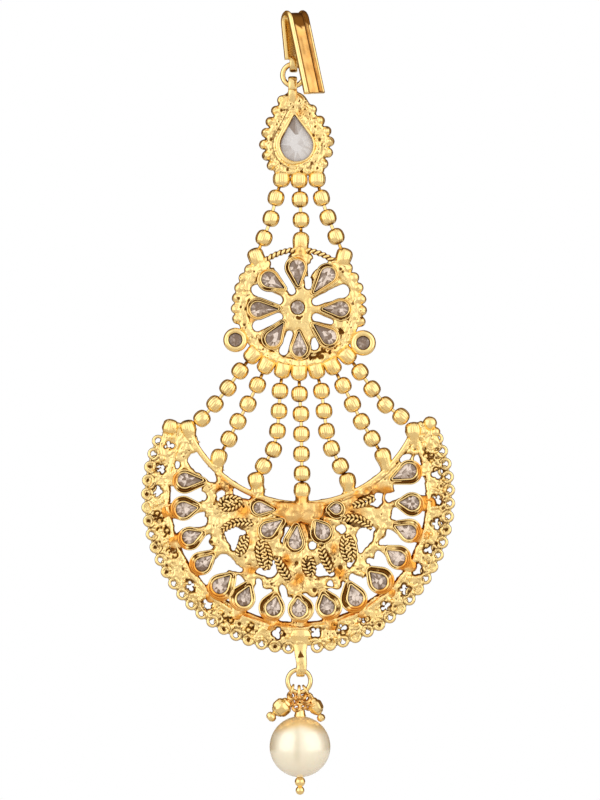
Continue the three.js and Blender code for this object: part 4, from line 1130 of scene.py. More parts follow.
class JHOOMAR_OT_top_setting(bpy.types.Operator):
    """Make the pear-shaped top setting, its bail and its stone."""

    bl_idname = "jhoomar.top_setting"
    bl_label = "Top setting"

    def execute(self, context):
        sizes = context.scene.jhoomar_sizes
        depth = sizes.grain_depth / MM
        x0, z0 = stone_middle()

        def rear(x, z, f):
            """Rough cast metal with a smooth bump at each place, and a groove round the stone's collar;
            painted shade lies in the pits, in the groove and in a dark line in the gap left of the stone.
            """
            cast, shade = cast_back(x, z, depth * 1.1, seed=3, pit_share=0.55)
            dome = domes(x, z, SETTING_BUMPS, 0.85)
            opening = opening_field(x, z)
            collar = ease(1.15 + opening, 0, 0.25) * (opening < 0)
            groove = ridge(opening + 1.4, 0.28) * patches(x, z, 1.5, 68, -0.5, 0.2)
            height = 1.0 + cast * 1.3 + 0.12 * lumps(x, z, 1.7, 9) + 0.12 * dome
            height = height - 0.12 * groove * (1 - dome) - 0.2 * collar * (x < x0)
            shade = np.maximum(shade * (1 - 0.8 * dome), 0.75 * groove * patches(x, z, 0.7, 69, -0.2, 0.4))
            gap = ridge(opening + 1.2, 0.14) * ease(x0 - 0.5 - x, -0.5, 1.5)
            copper = 0.5 * np.exp(-(((x + 0.3) / 2.5) ** 2 + ((z + 16.0) / 1.2) ** 2))
            return height * round_edge(f, 0.7), np.maximum(shade, 0.9 * gap), copper

        def front(x, z, f):
            dome = domes(x, z, SETTING_BUMPS, 0.85)
            return (0.86 + 0.12 * dome + 0.02 * lumps(x, z, 0.8)) * round_edge(f, 0.4)

        step = sizes.plate_step / MM * 0.85
        plate = cast_plate(setting_field, (-7.6, -28.2), (6.6, -11.6), step, rear, front)
        ends = [bead_shell(*route[0], 90, sizes, seed=number, scale=1.04)
                for number, route in enumerate(UPPER_CHAINS.values())]
        shells = [plate, self.collar(x0, z0), *self.bail(), *ends]
        make_piece("setting_plate", shells, "cast_gold", ["top_setting"])
        outline = drop_ring(TOP_STONE["radius"] + 0.25, TOP_STONE["tip"] + 0.2, 0.12, (10, 1, 1))
        cut = dict(girdle=MID - 0.1, table=MID - 0.42, floor=MID + 0.6, seed=7, share=0.4)
        points, faces, tones = facets(outline, x0, z0, SETTING["aim"], **cut)
        high = points[faces].mean(1)[:, 2]
        # The clear stone is darker towards its tip.
        tones = 0.18 + 0.42 * (tones - 0.4) + 0.3 * ease(high, z0 + 1.7, z0 + 2.6)
        make_stones("setting_stone", [(points, faces, tones)], "clear_glass", ["top_stone"])
        return {"FINISHED"}

    def bail(self):
        """An eye round the hook's ring, and two flat ends that lean in to clasp the setting's neck."""
        z = HOOK_RING["z"] - HOOK_RING["mean"]
        # Painted shade over the top of the eye.
        top = 0.9 * ease(np.sin(circle(36)), 0.55, 0.9)[:, None]
        shells = [rolled_eye(BAIL["x"], z, BAIL["outer"], BAIL["inner"], BAIL["width"], shade=top)]
        strap_z = np.linspace(z - 0.8, z - 3.2, 14)
        lean = np.linspace(0, 1, 14) ** 1.5
        # Painted copper-red shadow down one side of each flat end.
        burn_and_shadow = 0.9 * ease(np.cos(circle(16)), 0.2, 0.7)
        for side in (-1, 1):
            path = flat_path(np.full(14, BAIL["x"]), strap_z, MID + side * 1.22 - side * 0.9 * lean)
            girth = np.linspace(0.74, 0.8, 14) * (1 + 0.08 * lumps(strap_z, side + 0 * strap_z, 0.7, 79))
            girth = np.maximum(girth * np.minimum(1, 4.6 * (1 - lean)), 0.1)
            shells.append(tube(path, girth, sides=16, flat=0.42, solder=0.7 * burn_and_shadow))
        return shells

    def collar(self, x0, z0):
        """The wall round the opening, carried as one section along a drop outline."""
        # how far out from the opening, height, painted shade
        rows = np.array([
            (1.0, 0.15, 0.4), (0.9, -0.5, 0.2), (0.78, -0.62, 0.0), (0.58, -0.7, 0.0), (0.36, -0.7, 0.0),
            (0.2, -0.62, 0.1), (0.08, -0.46, 0.3), (0.02, -0.2, 0.95), (0.0, 0.3, 1.0), (0.0, 1.2, 1.0),
            (0.4, 1.25, 0.4), (0.5, 0.9, 0.2),
        ])
        flat = np.stack([drop_ring(2.6 + g, 4.7 + 1.4 * g, 0.12 + 0.4 * g, (25, 10, 5)) for g in rows[:, 0]])
        wide = 0.45 + 0.55 * ease(-flat[-4:-3, :, :1], -0.5, 1.5)
        flat = flat[-4:-3] + (flat - flat[-4:-3]) * wide
        heights, shade = column(MID - 0.25 + rows[:, 1], flat.shape[:2]), column(rows[:, 2], flat.shape[:2])
        across, along = flat[..., 0], flat[..., 1]
        # Painted shade on the collar's left side, by the stone.
        left = ease(-across, 0.8, 2.2) * ease(along, -1.5, 0.5) * ease(4.4 - along, 0, 1.5)
        shade[5:7] = np.maximum(shade[5:7], 0.85 * left[5:7])
        rough = lumps(across, along, 1.3, 70) + 0.5 * lumps(across, along, 0.6, 71)
        heights += (0.1 * rough + 0.12 * ease(along, 2.0, 5.0)) * (rows[:, 1] < 0)[:, None]
        return skin(set_down(flat, x0, z0, SETTING["aim"], heights), closed=True, shade=shade)


# ---------------- wheel


def bump_places():
    """Places of the bumps down each side of the wheel."""
    angles = np.concatenate([142 + 9.6 * np.arange(6), 39.5 - 10.4 * np.arange(6)])
    return np.stack(polar(*middle(WHEEL), WHEEL["outer"] + 0.05, angles), -1)


def wheel_field(x, z):
    """The wheel's rim, the disc between its petals, and its posts run together, less its openings."""
    cx, cz = middle(WHEEL)
    rim = (WHEEL["outer"] + WHEEL["inner"]) / 2
    fields = [
        arc_field(x, z, cx, cz, rim, 128, 412, WHEEL["outer"] - WHEEL["inner"]),
        arc_field(x, z, cx, cz, 6.0, 131, 409, 4.2),
        disc_field(x, z, cx, cz, 5.2),
        *(bar_field(x, z, *bar) for bar in WHEEL_BARS),
        *(disc_field(x, z, *place, radius - 0.1) for *place, radius in SIDE_COLLETS),
    ]
    fields += [bar_field(x, z, *post, 2.4) for post in POSTS["wheel"]]
    fields += [disc_field(x, z, *bump, 0.9) for bump in bump_places()]
    fields += [disc_field(x, z, *route[0], 1.3) for route in LOWER_CHAINS.values()]
    solid = flow(fields) + 0.05 * lumps(x, z, 0.7, 12)
    gaps = flow([taper_field(x, z, *row) for row in WHEEL_GAPS]) + 0.07 * lumps(x, z, 0.8, 11)
    stones = [drop_field(x, z, *place, radius + 0.1, reach + 0.15, 0.12) for *place, radius, reach in PETALS]
    stones += [disc_field(x, z, cx - 0.22, cz + 0.08, 0.98)]
    stones += [disc_field(x, z, *place, 1.3) for *place, _ in SIDE_COLLETS]
    return np.minimum(solid, -np.maximum(gaps, np.max(stones, 0)))


class JHOOMAR_OT_wheel(bpy.types.Operator):
    """Make the wheel medallion: its cast plate, eight petal collets, side collets and twisted wire."""

    bl_idname = "jhoomar.wheel"
    bl_label = "Wheel medallion"

    def execute(self, context):
        sizes = context.scene.jhoomar_sizes
        depth = sizes.grain_depth / MM
        cx, cz = middle(WHEEL)
        toward = [(x, z, x + 1.5 * (cx - x) / 10, z + 1.5 * (cz - z) / 10)
                  for x, z in (route[0] for route in LOWER_CHAINS.values())]

        def rear(x, z, f):
            """Cast metal, smoother in the middle, with bumps, lips round the petals, and burnt flux, with
            painted shade in the pits, in lines round the petals, along the rim's step and in the creases.
            """
            cast, shade = cast_back(x, z, depth, seed=31, pit_share=0.2)
            r, angle = away(x, z, cx, cz), np.degrees(np.arctan2(z - cz, x - cx))
            dome = domes(x, z, bump_places(), 0.9)
            petal = np.max([drop_field(x, z, *row, 0.1) for row in PETALS], 0)
            burn_and_shadow = np.max([bar_field(x, z, *row) for row in BURNT], 0)
            burn_and_shadow = ease(burn_and_shadow + 0.45 * lumps(x, z, 0.4, 77) + 0.2 * lumps(x, z, 0.9, 78), -0.02, 0.25)
            step_line = ridge(r - WHEEL["step"], 0.14) * ease(np.abs(angle), 70, 20)
            rim_line = ridge(r - WHEEL["groove"], 0.2)
            lip = ridge(petal + 0.42, 0.17)
            dark_line = ridge(petal + 0.16, 0.1) + ridge(petal + 0.68, 0.09)
            dark_line = dark_line * patches(x, z, 1.3, 15, -0.5, 0.35)
            rise = [ease(bar_field(x, z, *post, 3.0), 0.2, 1.4) for post in POSTS["wheel"] + toward]
            rough = 0.4 + 0.6 * ease(r, 6, 9)
            height = 0.66 + 0.45 * np.max(rise, 0) + cast * rough + 0.14 * dome + 0.08 * lip
            height = height + 0.13 * lumps(x, z, 2.2, 16) - 0.25 * burn_and_shadow
            height = height - 0.12 * (dark_line + rim_line * (1 - dome) + step_line)
            copper = 0.4 * patches(x, z, 2.6, 5, 0.3, 0.9) + 0.3 * patches(x, z, 0.9, 6, 0.5, 0.9)
            creases = 0.7 * veins(x, z, 1.6, 17) * ease(r, 8, 9)
            shade = shade * (0.5 + 0.5 * ease(r, 6, 9))
            tone = np.maximum.reduce([shade, burn_and_shadow, 0.75 * dark_line, 0.5 * step_line, creases])
            return height * round_edge(f, 0.75), np.clip(tone, 0, 1), copper

        step = 0.85 * sizes.plate_step / MM
        plate = cast_plate(wheel_field, (-13.2, -59.4), (13.2, -37.0), step, rear, smooth_front(0.6, 0.8))
        make_piece("wheel_plate", [plate], "cast_gold", ["wheel_medallion"])
        collets, stones = [], []
        for number, (*place, radius, reach) in enumerate(PETALS):
            side = 0.22 if place_value(number, 3, 1) > 0.5 else -0.22
            cup = dict(side=side, wall=0.6, rear=-0.42, seed=number, skirt=0.1, shade_level=0.4)
            collets.append(drop_collet(*place, radius, reach + 0.1, **cup))
            outline = drop_ring(radius + 0.03, reach + 0.08, 0.1, (8, 1, 1))
            gloom = 0.45 + 0.3 * place_value(number, 1, 5)
            cut = dict(girdle=-0.02, table=-0.22, floor=0.5, seed=20 + number, gloom=gloom)
            stones.append(facets(outline, *place, **cut))
        for number, (*place, radius) in enumerate(SIDE_COLLETS):
            collets.append(round_collet(*place, radius, 1.05, rear=-0.45))
            stones.append(self.round_stone(*place, 1.08, 40 + number, 0.75))
        stones.append(self.round_stone(cx - 0.25, cz + 0.08, 1.02, 50, 0.62))
        make_piece("wheel_collets", collets, "polished_gold")
        make_stones("wheel_stones", stones)
        top_arc = arc_path(cx, cz, WHEEL["wire"], 50, 130, 190, MID - 0.3)
        wire = twisted(top_arc, 0.5, 1.6, sides=14, pinch=0.5, solder=0.0, shade_level=0.0)
        posts = post_shells(POSTS["wheel"], sizes, 0.88) + post_shells(toward, sizes, 1.0)
        make_piece("wheel_wire_and_posts", [wire, *posts], "cast_gold")
        return {"FINISHED"}

    def round_stone(self, x, z, radius, seed, gloom):
        """A small round stone with eight facets and a low crown."""
        a = circle(8)
        outline = radius * np.stack([np.cos(a), np.sin(a)], -1)
        cut = dict(girdle=0.0, table=-0.12, floor=0.5, seed=seed, gloom=gloom, spread=0.4)
        return facets(outline, x, z, 90, **cut)


# ---------------- crescent


def loop_places():
    """Place and kind of each loop, outwards from the strap along both arms."""
    places = []
    for start, step, kinds in LOOP_RUNS.values():
        angles = -90 + start + step * np.arange(len(kinds))
        places += [(*polar(*middle(CRESCENT), LOOPS["radius"], angle), kind, angle)
                   for angle, kind in zip(angles, kinds)]
    return places


def flower_field(x, z, cx, cz, opening, turn):
    """A pierced flower: up to four small discs round a place, each wide, narrow or closed, and a heart, run
    together."""
    opening = max(opening, 0.01)
    petals = [polar(cx, cz, 0.53, turn + 90 * n) for n in range(4)]
    wide = [opening * (0.45 + 0.45 * place_value(cx, n, 3)) * (place_value(cx, n, 4) < 0.85)
            for n in range(4)]
    heart = disc_field(x, z, cx, cz, 0.4 * opening)
    return flow([heart, *(disc_field(x, z, *petal, radius) for petal, radius in zip(petals, wide))])


def band_field(x, z):
    """The crescent's band, scalloped where loops join it, with ragged edges, less its pierced flowers."""
    outer, inner, half = CRESCENT["edge"], CRESCENT["inner"] - 0.1, CRESCENT["half"]
    place = middle(CRESCENT)
    fields = [arc_field(x, z, *place, (outer + inner) / 2, -90 - half, -90 + half, outer - inner)]
    scallops = [polar(*place, outer - 0.1, angle + 2.55) for *_, angle in loop_places()]
    fields += [disc_field(x, z, *scallop, 0.55) for scallop in scallops]
    band = flow(fields) + 0.1 * lumps(x, z, 0.9, 61) + 0.09 * lumps(x, z, 0.4, 62)
    holes = [flower_field(x, z, *row) for row in PIERCED if row[2] > 0]
    ragged = 0.1 * lumps(x, z, 0.35, 63)
    return np.minimum(band, -np.max(holes, 0) + ragged)


def web_solid(x, z):
    """The space between the rail and the band, with horns and posts, run together."""
    place, overlap = middle(CRESCENT), CRESCENT["overlap"]
    outside = -disc_field(x, z, *middle(RAIL), RAIL["radius"] - 0.45)
    reach = np.where(z < CRESCENT["cups_top"], CRESCENT["cups"] + 0.35 * lumps(x, z, 1.3, 73), overlap)
    fields = [
        np.minimum(outside, reach - away(x, z, *place)), *(disc_field(x, z, *row) for row in LOBES),
        *(bar_field(x, z, *bar) for bar in HORN_BARS),
    ]
    fields += [bar_field(x, z, *post, 2.2) for post in POSTS["crescent"]]
    for cx, cz, aim, radius, tip, _ in COLLETS:
        outward = bearing(cx - place[0], cz - place[1])
        fields.append(drop_field(x, z, cx, cz, aim, radius + 0.6, tip + 0.3, 0.6))
        fields.append(bar_field(x, z, cx, cz, *polar(*place, overlap, outward), 2.6))
        fields.append(bar_field(x, z, cx, cz, *polar(cx, cz, tip + 2.6, aim), 1.7))
    fields.append(arc_field(x, z, *place, CRESCENT["inner"] - 0.1, -135, -48, 0.9))
    return flow(fields) + 0.08 * lumps(x, z, 0.7, 74)


def web_field(x, z):
    """The web less its ragged openings and the openings of its stones."""
    gaps = flow([taper_field(x, z, *row) for row in CRESCENT_GAPS])
    gaps = gaps + 0.13 * lumps(x, z, 0.85, 71) + 0.09 * lumps(x, z, 0.42, 72)
    stones = [drop_field(x, z, *place, radius + 0.15, reach + 0.2, 0.12)
              for *place, radius, reach, _ in COLLETS + FLOWER]
    horn_holes = [flower_field(x, z, *row) for row in PIERCED if row[1] > -72]
    return np.minimum(web_solid(x, z), -np.maximum(gaps, np.max(stones + horn_holes, 0)))


def band_rear(depth):
    """The back of the band, for casting of that depth."""

    def rear(x, z, f):
        """Rough metal: a smooth inner rim, and knobs between pierced flowers, with painted shade in
        four-lobed lines round the flowers, in a line where the band's edge laps over the loops, along the
        rim's grooves and in the veins.
        """
        cast, shade = cast_back(x, z, depth * 1.1, seed=41, pit_share=0.5)
        r = away(x, z, *middle(CRESCENT))
        petals = [polar(hx, hz, 0.56, turn + 90 * n) for hx, hz, _, turn in PIERCED for n in range(4)]
        line = np.max([ridge(away(x, z, *petal) - 0.46, 0.14) for petal in petals], 0)
        line = line * (0.3 + 0.9 * patches(x, z, 0.7, 45, -0.6, 0.2))
        rings = np.max([ridge(away(x, z, lx, lz) - 1.05, 0.14) * (0.75 if kind == "f" else 1)
                        for lx, lz, kind, _ in loop_places()], 0)
        rings = rings * patches(x, z, 0.8, 46, -0.9, 0.0) * ease(r, 23.2, 23.6)
        inner_rim = ridge(r - CRESCENT["rim"], 0.35)
        rim_line = ridge(r - CRESCENT["groove"], 0.1) * patches(x, z, 1.6, 47, -0.2, 0.5)
        low_line = ridge(r - CRESCENT["low_groove"], 0.12) * ease(-z, 86, 92)
        rim_line = np.maximum(rim_line, low_line * patches(x, z, 1.2, 50, -0.6, 0.1))
        ball = np.sqrt(pits(x, z, 1.45, 64, 0.9)) * (1 - line) * ease(r, 21.6, 22.1)
        shade = shade * (1 - 0.85 * ease(ball, 0.3, 0.7))
        dark_line = veins(x, z, 1.1, 49) * ease(r, 21.9, 22.4)
        copper = 0.8 * ease(CRESCENT["inner"] + 0.45 - r, -0.15, 0.35) * patches(x, z, 1.5, 48, -0.8, 0.1)
        copper = copper * ease(-z, 80, 92) + 0.25 * patches(x, z, 3.0, 44, 0.5, 0.9)
        height = 0.56 + cast * (1 - 0.6 * inner_rim - 0.5 * ball) + 0.38 * ball + 0.16 * inner_rim
        height = height - 0.3 * line - 0.2 * rings - 0.1 * rim_line - 0.12 * dark_line
        shade = shade * (1 - 0.7 * inner_rim)
        tone = np.maximum.reduce([shade, line, 0.9 * rings, 0.6 * rim_line, 0.75 * dark_line])
        return height * round_edge(f, 0.55), np.clip(tone, 0, 1), copper

    return rear


def web_rear(depth):
    """The back of the web, for casting of that depth."""

    def rear(x, z, f):
        """Runny solder: broad soft swells with rough patches and a mound at the hub, with painted shade under
        the pads, in the slots, round the foot of the hub, along the rail and near the edges, and the copper's
        own places."""
        cast, shade = cast_back(0.7 * x, 0.7 * z, depth * 1.35, seed=51, pit_share=0.2)
        swell = 0.2 * lumps(x, z, 1.9, 55) + 0.12 * lumps(x, z, 0.9, 57)
        dark_line = veins(x, z, 1.5, 59)
        pads = [oval_field(x, z, *place, long + 0.1, wide + 0.25) for *place, long, wide, _ in PADS]
        under = 0.85 * ease(np.max(pads, 0), 0.15, 0.5)
        ragged = 0.65 + 0.6 * lumps(x, z, 1.1, 56)
        copper = np.max([ridge(away(x, z, *place), reach) for *place, reach in COPPER], 0)
        outer = ease(away(x, z, *middle(CRESCENT)), 19.6, 20.2) * ease(-z, 74, 80)
        copper = np.clip(np.maximum(1.25 * copper, outer) * ragged, 0, 1)
        balls = [oval_field(x, z, -0.3, -79.8, 0, 4.4, 2.2), disc_field(x, z, -1.3, -81.2, 1.7),
                 disc_field(x, z, 1.7, -81.1, 1.8)]
        mound = flow(balls, 6.0) + 0.12 * lumps(x, z, 0.9, 65)
        hub = ease(mound, -0.05, 0.4)
        copper = np.maximum(copper * (1 - hub), (0.5 + 0.3 * ease(0.9 - mound, 0, 0.8)) * hub)
        slots = ease(np.max([bar_field(x, z, *row) for row in SLOTS], 0), -0.1, 0.12) * (1 - hub)
        slots = np.maximum(slots, 0.8 * ridge(mound + 0.12, 0.13) * ease(-z, 79.5, 80.5))
        under = np.maximum(under, slots)
        ball = np.sqrt(pits(x, z, 1.9, 66, 0.75)) * (1 - under)
        along = ridge(away(x, z, *middle(RAIL)) - RAIL["radius"] - 0.62, 0.13)
        along = along * patches(x, z, 1.9, 67, -0.9, 0.0) * (1 - hub)
        height = 0.7 + cast * (1 - 0.5 * hub) + swell + 0.75 * np.sqrt(np.clip((mound + 0.05) / 1.7, 0, 1))
        height = height + 0.2 * ball * (1 - hub) - 0.25 * under - 0.12 * dark_line - 0.2 * along
        edge = 0.4 * ease(0.32 - f, 0, 0.25) * patches(x, z, 1.2, 58, -0.3, 0.5)
        shade = shade * (1 - 0.6 * ball) * (1 - 0.6 * hub)
        tone = np.maximum.reduce([shade, 0.95 * under, edge, 0.75 * dark_line, 0.8 * along])
        return height * round_edge(f, 0.9), np.clip(tone, 0, 1), copper

    return rear


class JHOOMAR_OT_crescent(bpy.types.Operator):
    """Make the crescent's pierced band, its web of cast metal and solder, the rail, and the drop's strap."""

    bl_idname = "jhoomar.crescent"
    bl_label = "Crescent plates"

    def execute(self, context):
        sizes = context.scene.jhoomar_sizes
        depth, step = sizes.grain_depth / MM, sizes.plate_step / MM
        front = smooth_front(0.6)
        band = cast_plate(band_field, (-25.2, -103.2), (24.6, -65.2), 0.9 * step, band_rear(depth), front)
        web = cast_plate(web_field, (-23.4, -99.8), (23.4, -64.8), step, web_rear(depth), front)
        make_piece("crescent_band", [band], "cast_gold", ["crescent"])
        make_piece("crescent_web", [web], "cast_gold")
        posts = post_shells(POSTS["crescent"], sizes)
        left_horn = bead_shell(-21.04, -66.8, 75, sizes, 1.2, rough=0.08, seed=3, scale=0.97, waist=0.7)
        make_piece("crescent_rail", [self.rail(), *posts, left_horn, *self.knot()], "cast_gold")
        make_piece("crescent_strap", self.strap(), "cast_gold")
        return {"FINISHED"}

    def rail(self):
        """A rounded bar along the rail's arc, copper along its lower side as painted shadow."""
        half = RAIL["half"]
        path = arc_path(*middle(RAIL), RAIL["radius"], -90 - half, -90 + half, 120, MID - 0.35)
        a = circle(14)
        low = ease(-np.cos(a), -0.1, 0.8)[None, :] * ease(13.5 - np.abs(path[:, 0]), 0, 5)[:, None]
        return tube(path, RAIL["wire"], sides=14, flat=0.8, solder=0.9 * low)

    def knot(self):
        """The small cluster of lumpy balls at the right horn."""
        a = circle(24)[None, :]
        rise = np.radians(np.linspace(-82, 82, 14))[:, None]
        shells = []
        for number, (x, z, radius) in enumerate(KNOT):
            r = radius * (1 + 0.06 * lumps(np.cos(a) * 2 + number, rise * 2, 0.7))
            girth = r * np.cos(rise)
            rows = np.stack([x + girth * np.cos(a), MID - 0.1 + girth * np.sin(a), z + r * np.sin(rise)], -1)
            shells.append(skin(rows))
        return shells

    def strap(self):
        """Two tapered leaves of a strap that meet in an eye round the drop ring. The rear one has painted
        shade for a notch at its neck and a painted dark line round its curled end."""
        ring_z = DROP_RING["z"] + DROP_RING["mean"]
        z = np.linspace(-99.3, ring_z - 0.5, 64)
        places = [99.3, 99.8, 100.6, 101.4, 102.4, 103.2, 106.0, 106.5, -z[-1]]
        half = np.interp(-z, places, [0.5, 1.5, 1.85, 1.5, 1.15, 0.98, 0.82, 0.66, 0.35])
        a = circle(40)[None, :]
        low = -103.2 - z[:, None]
        notch_shade = 1.1 * ease(0.6 * low - np.abs(np.cos(a)), -0.1, 0.05) * ease(1.1 - low, 0, 0.12)
        shells = [rolled_eye(0.08, ring_z, 1.22, 0.74, 1.4, shade=0.05)]
        gap = 0.25 + 0.75 * ease(-z, 101.8, 104.8)
        x = 0.05 + 0.22 * ease(-z, 102.8, 105.6)
        curl = drop_field(x[:, None] + half[:, None] * np.cos(a), z[:, None], 0.34, -106.1, 94, 0.36, 1.3)
        dark = np.maximum(notch_shade, 0.7 * ridge(curl, 0.08))
        for side in (-1, 1):
            girth = half * (1 + 0.04 * lumps(z, 0 * z + side, 0.6))
            leaf = flat_path(x, z, MID + side * gap)
            shells.append(tube(leaf, girth, sides=40, flat=0.42, shade=dark * (side < 0)))
        return shells


class JHOOMAR_OT_loops(bpy.types.Operator):
    """Make the edging of wire loops, half hidden behind the band; some have filled with solder."""

    bl_idname = "jhoomar.loops"
    bl_label = "Loop edging"

    def execute(self, context):
        wire, shells = LOOPS["wire"], []
        mean = LOOPS["outer"] - wire
        for number, (x, z, kind, angle) in enumerate(loop_places()):
            shells.append(torus(x, z, mean, wire, steps=26, sides=12, y=MID + 0.08, shade=flank_shade(12, 1.1)))
            # A second ring, set back half under the band, carries painted shade.
            behind = polar(*middle(CRESCENT), LOOPS["radius"] - 0.5, angle + 2.5)
            shells.append(torus(*behind, mean - 0.05, wire, steps=22, sides=8, y=MID + 0.32, shade=0.5))
            if kind != "o":
                shells.append(self.fill(x, z, mean, number, deep=kind == "d"))
        make_piece("crescent_loops", shells, "polished_gold")
        return {"FINISHED"}

    def fill(self, x, z, radius, seed, deep):
        """A pool of solder: rings of a lumpy disc that sinks to its middle, to a pit with painted shade if it
        is deep.
        """
        a = circle(20)[None, :]
        # share of the radius, how far it sinks, its painted shade, and 1 for the rings of the pit
        share, sink, dark, pit = np.array([
            (0.08, 0.2, 1, 1), (0.22, 0.15, 1, 1), (0.4, 0.02, 0.75, 1), (0.7, -0.08, 0.1, 0),
            (1.0, 0.0, 0.2, 0), (1.0, 0.25, 0, 0), (0.7, 0.35, 0, 0), (0.3, 0.35, 0, 0),
        ]).T[:, :, None]
        ragged = 1 + 0.45 * lumps(np.cos(a) * 1.3 + seed * 1.7, np.sin(a) * 1.3, 0.8) * pit
        y = sink * np.where(pit > 0, deep, 1) + 0.05 * lumps(np.cos(a) * 2 + seed, np.sin(a) * 2, 0.9)
        outward = 0.1 * pit / LOOPS["radius"]
        px = x + radius * share * ragged * np.cos(a) + outward * (x - CRESCENT["x"])
        pz = z + radius * share * ragged * np.sin(a) + outward * (z - CRESCENT["z"])
        shade = np.broadcast_to(dark, y.shape) * (1.0 if deep else 0.12)
        return skin(np.stack([px, MID + y, pz], -1), shade=shade, solder=0.1)


class JHOOMAR_OT_collets(bpy.types.Operator):
    """Make the crescent's fifteen drop collets and the little flower under its rail, with their stones."""

    bl_idname = "jhoomar.collets"
    bl_label = "Crescent collets"

    def execute(self, context):
        collets, stones = [], []
        for number, (x, z, aim, radius, reach, side) in enumerate(COLLETS + FLOWER):
            if number < len(COLLETS):
                wall, skirt, copper = 1.02 if z < -91 else 0.84, 0.0, 1.0
            else:
                wall, skirt, copper = 0.7, 0.1, 0.0
            cup = dict(side=0.28 * side, wall=wall, rear=-0.4, seed=number, skirt=skirt, copper=copper)
            collets.append(drop_collet(x, z, aim, radius, reach, **cup))
            outline = drop_ring(radius + 0.03, reach + 0.1, 0.1, (8, 1, 1))
            gloom = 0.3 + 0.3 * place_value(number, 2, 5)
            cut = dict(girdle=0.02, table=-0.2, floor=0.5, seed=60 + number, gloom=gloom)
            stones.append(facets(outline, x, z, aim, **cut))
        make_piece("crescent_collets", collets, "polished_gold")
        make_stones("crescent_stones", stones)
        return {"FINISHED"}


class JHOOMAR_OT_pads(bpy.types.Operator):
    """Make the pads of coiled twisted wire."""

    bl_idname = "jhoomar.pads"
    bl_label = "Coiled wire pads"

    def execute(self, context):
        strand = context.scene.jhoomar_sizes.strand_radius / MM
        ropes = []
        for number, (*place, long, wide, bend) in enumerate(PADS):
            if bend:
                ropes += self.run(*place, long, bend, strand)
            else:
                ropes += self.coil(*place, long, wide, strand, number)
        make_piece("coiled_pads", ropes, "cast_gold")
        return {"FINISHED"}

    def coil(self, x, z, aim, long, wide, strand, number):
        """Nested ovals of twisted wire, each a wire's width inside the last, round a short straight run."""
        ropes = []
        a = circle(72) + number
        for turn in range(4):
            across, along = wide - strand - 1.6 * strand * turn, long - strand - 1.6 * strand * turn
            y = -0.16 - 0.09 * turn
            if across < 0.25 * strand:
                t = np.linspace(-1, 1, 20)
                line = set_down(np.stack([0.06 * np.sin(3 * t), max(along, 0.45) * t], -1), x, z, aim, y)
                way = 1.3 * (-1) ** turn
                return [*ropes, twisted(line, strand * (1 - 0.3 * t**6)[:, None], way)]
            taper = 1 - 0.16 * np.sin(a)
            path = set_down(np.stack([across * taper * np.cos(a), along * np.sin(a)], -1), x, z, aim, y)
            girth = np.linalg.norm(path - np.roll(path, 1, 0), axis=1).sum()
            pitch = girth / round(girth / 1.3) * (-1) ** turn
            ropes.append(twisted(path, strand, pitch, closed=True))
        return ropes

    def run(self, x, z, aim, long, bend, strand):
        """Two twisted wires side by side along a bowed line: across = bend (1 - (along / half length)^2)."""
        t = np.linspace(-1, 1, 44)
        runs = []
        for side in (-0.8, 0.8):
            across = bend * (1 - t * t) + side * strand * (1 - 0.25 * t * t)
            path = set_down(np.stack([across, long * t], -1), x, z, aim, -0.2 - 0.15 * (1 - t * t))
            runs.append(twisted(path, strand * (1 - 0.3 * t**6)[:, None], math.copysign(1.3, side)))
        return runs


# ---------------- pearl drop


